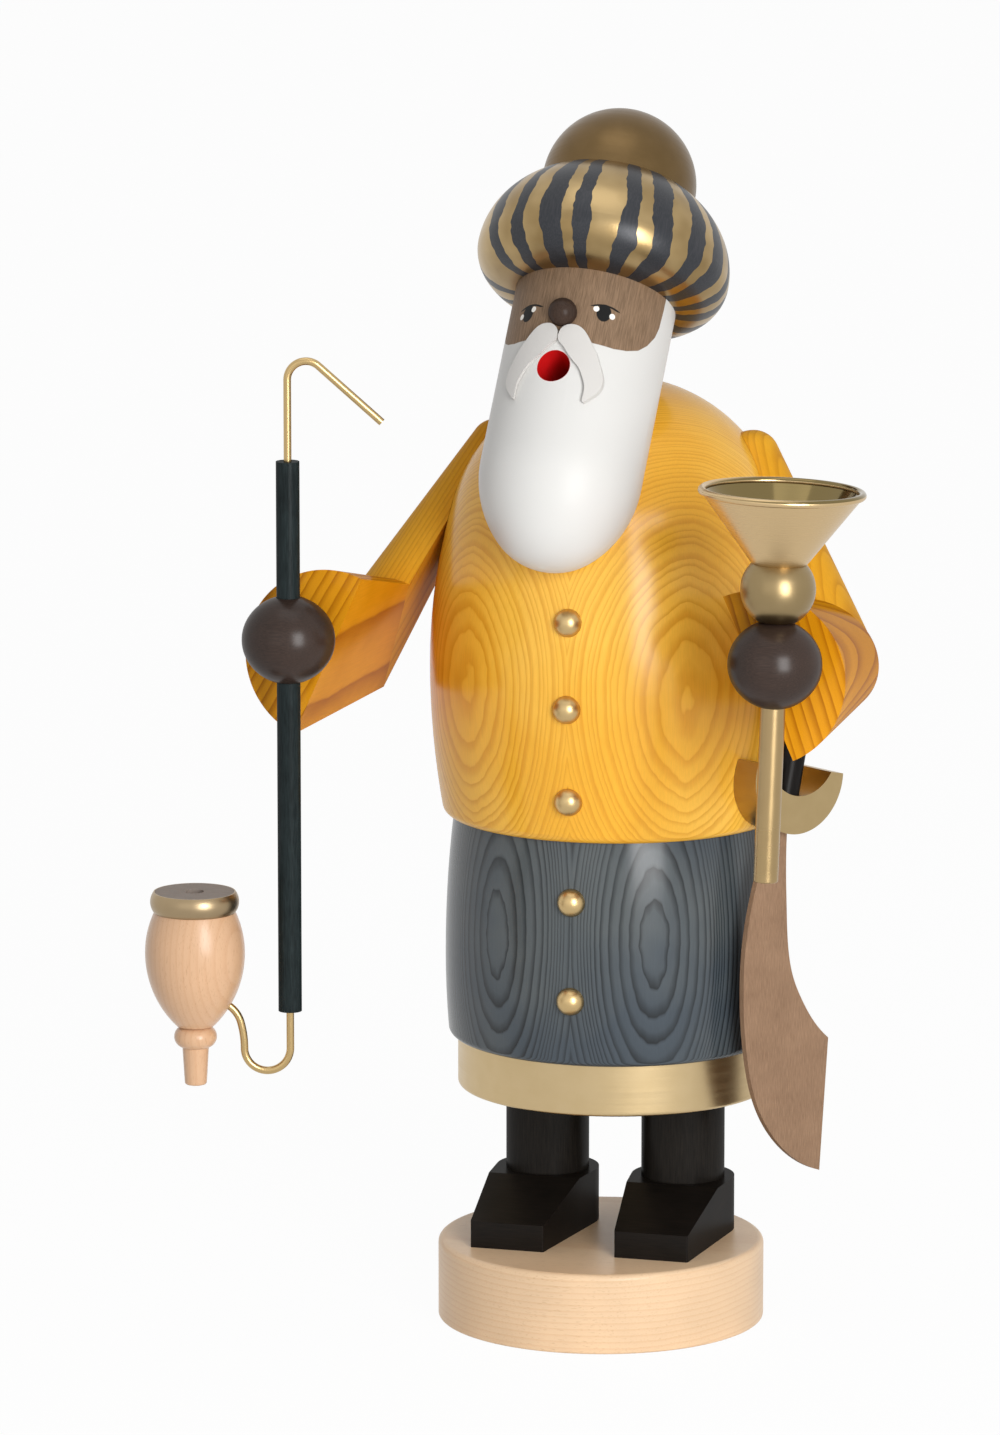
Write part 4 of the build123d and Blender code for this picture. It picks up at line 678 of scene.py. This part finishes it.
# Sword: a black grip, a gold crescent guard sawn from a turned ring, and a blade fretted from thin board.
# The blade's brown stain is nearly matt, with short dark pores along it.
grip_stain = dark_stain("beech_black_grip", "#1B1816", "#100E0D", 0.4)
dress(grip_stain, "sword_grip")
guard_gold = gold_paint("gold_bronze_paint_guard", "#B39C72", "#A58E63", 0.34, relief=0.006 * MM)
dress(guard_gold, "sword_guard")
blade_stain = dark_stain("beech_brown_blade", "#A28369", "#7C614C", 0.55, across=(0.574, 0.819, 0),
                         through=(0.819, -0.574, 0), streak_width=0.4 * MM, streak_length=5 * MM)
dress(blade_stain, "sword_blade")


# Floor and room: a pale studio floor under a white room, both plain white where they are seen.
# The floor keeps the object's soft shadow, and the room lights the object weakly from all round.
FLOOR_HALF_WIDTH, FLOOR_GAP = 6, 0.2 * MM
FLOOR_WHITE_SHARE, ROOM_LIGHT = 0.96, 0.4
WHITE, FLOOR_GREY = (1, 1, 1, 1), (0.9, 0.9, 0.9, 1)


def seen_plain(tree):
    """1 for the rays that see the studio itself: from the camera, mirrored or let through."""
    rays = put(tree, "LightPath").node.outputs
    return put(tree, "Math", {
        0: put(tree, "Math", {0: rays["Is Camera Ray"], 1: rays["Is Glossy Ray"]}, operation="MAXIMUM"),
        1: rays["Is Transmission Ray"]}, operation="MAXIMUM")


floor_mesh = bpy.data.meshes.new("floor")
sheet = bmesh.new()
bmesh.ops.create_grid(sheet, x_segments=1, y_segments=1, size=FLOOR_HALF_WIDTH)
sheet.to_mesh(floor_mesh)
sheet.free()
floor = bpy.data.objects.new("floor", floor_mesh)
floor.location.z = -FLOOR_GAP
bpy.context.scene.collection.objects.link(floor)
floor_paint, tree = open_surface("studio_floor")
white_share = put(tree, "Math", {0: seen_plain(tree), 1: FLOOR_WHITE_SHARE}, operation="MULTIPLY")
put(tree, "OutputMaterial", {"Surface": put(tree, "MixShader", {
    0: white_share, 1: put(tree, "BsdfDiffuse", {"Color": FLOOR_GREY}),
    2: put(tree, "Emission", {"Color": WHITE, "Strength": 1.0})})})
floor_mesh.materials.append(floor_paint)

room = bpy.data.worlds.new("studio")
room.use_nodes = True
bpy.context.scene.world = room
tree = room.node_tree
tree.nodes.clear()
put(tree, "OutputWorld", {"Surface": put(tree, "Background", {
    "Color": WHITE,
    "Strength": put(tree, "MapRange", {0: seen_plain(tree), 1: 0.0, 2: 1.0, 3: ROOM_LIGHT, 4: 1.0})})})


# Lamps and camera: a large soft lamp in front, on the pipe's other side, gives the forms their shine.
# A weak fill stands on the pipe's side and a weak lamp above. The camera's long lens looks down a little.
LAMPS_AIM = Vector((0, 0, 0.25))
CAMERA_AIM = Vector((-45.85, 8.85, 246.1)) * MM
CAMERA_TURN, CAMERA_RISE, CAMERA_DISTANCE, CAMERA_LENS = 16.0, 10.75, 3.4, 208.0


def stand(thing, name, aim, turn, rise, distance):
    """Stands a lamp or the camera at its bearing and rise from a point, turned to look at it."""
    turn, rise = math.radians(turn), math.radians(rise)
    away = Vector((math.sin(turn) * math.cos(rise), -math.cos(turn) * math.cos(rise), math.sin(rise)))
    holder = bpy.data.objects.new(name, thing)
    holder.location = aim + away * distance
    holder.rotation_euler = away.to_track_quat("Z", "Y").to_euler()
    bpy.context.scene.collection.objects.link(holder)
    return holder


for name, turn, rise, distance, size, power in (
        ("key", 37, 13, 1.6, (0.62, 0.95), 19.5),
        ("front_fill", -12, 14, 2.2, (1.4, 1.4), 2),
        ("top", 0, 80, 1.5, (1.0, 0.8), 2)):
    lamp = bpy.data.lights.new(name, "AREA")
    lamp.shape = "RECTANGLE"
    lamp.size, lamp.size_y = size
    lamp.energy = power
    stand(lamp, name, LAMPS_AIM, turn, rise, distance)

camera = bpy.data.cameras.new("camera")
camera.lens = CAMERA_LENS
camera.sensor_width = 36
camera.sensor_fit = "AUTO"
camera.clip_start, camera.clip_end = 0.1, 50
bpy.context.scene.camera = stand(camera, "camera", CAMERA_AIM, CAMERA_TURN, CAMERA_RISE, CAMERA_DISTANCE)
bpy.context.scene.view_settings.view_transform = "Standard"
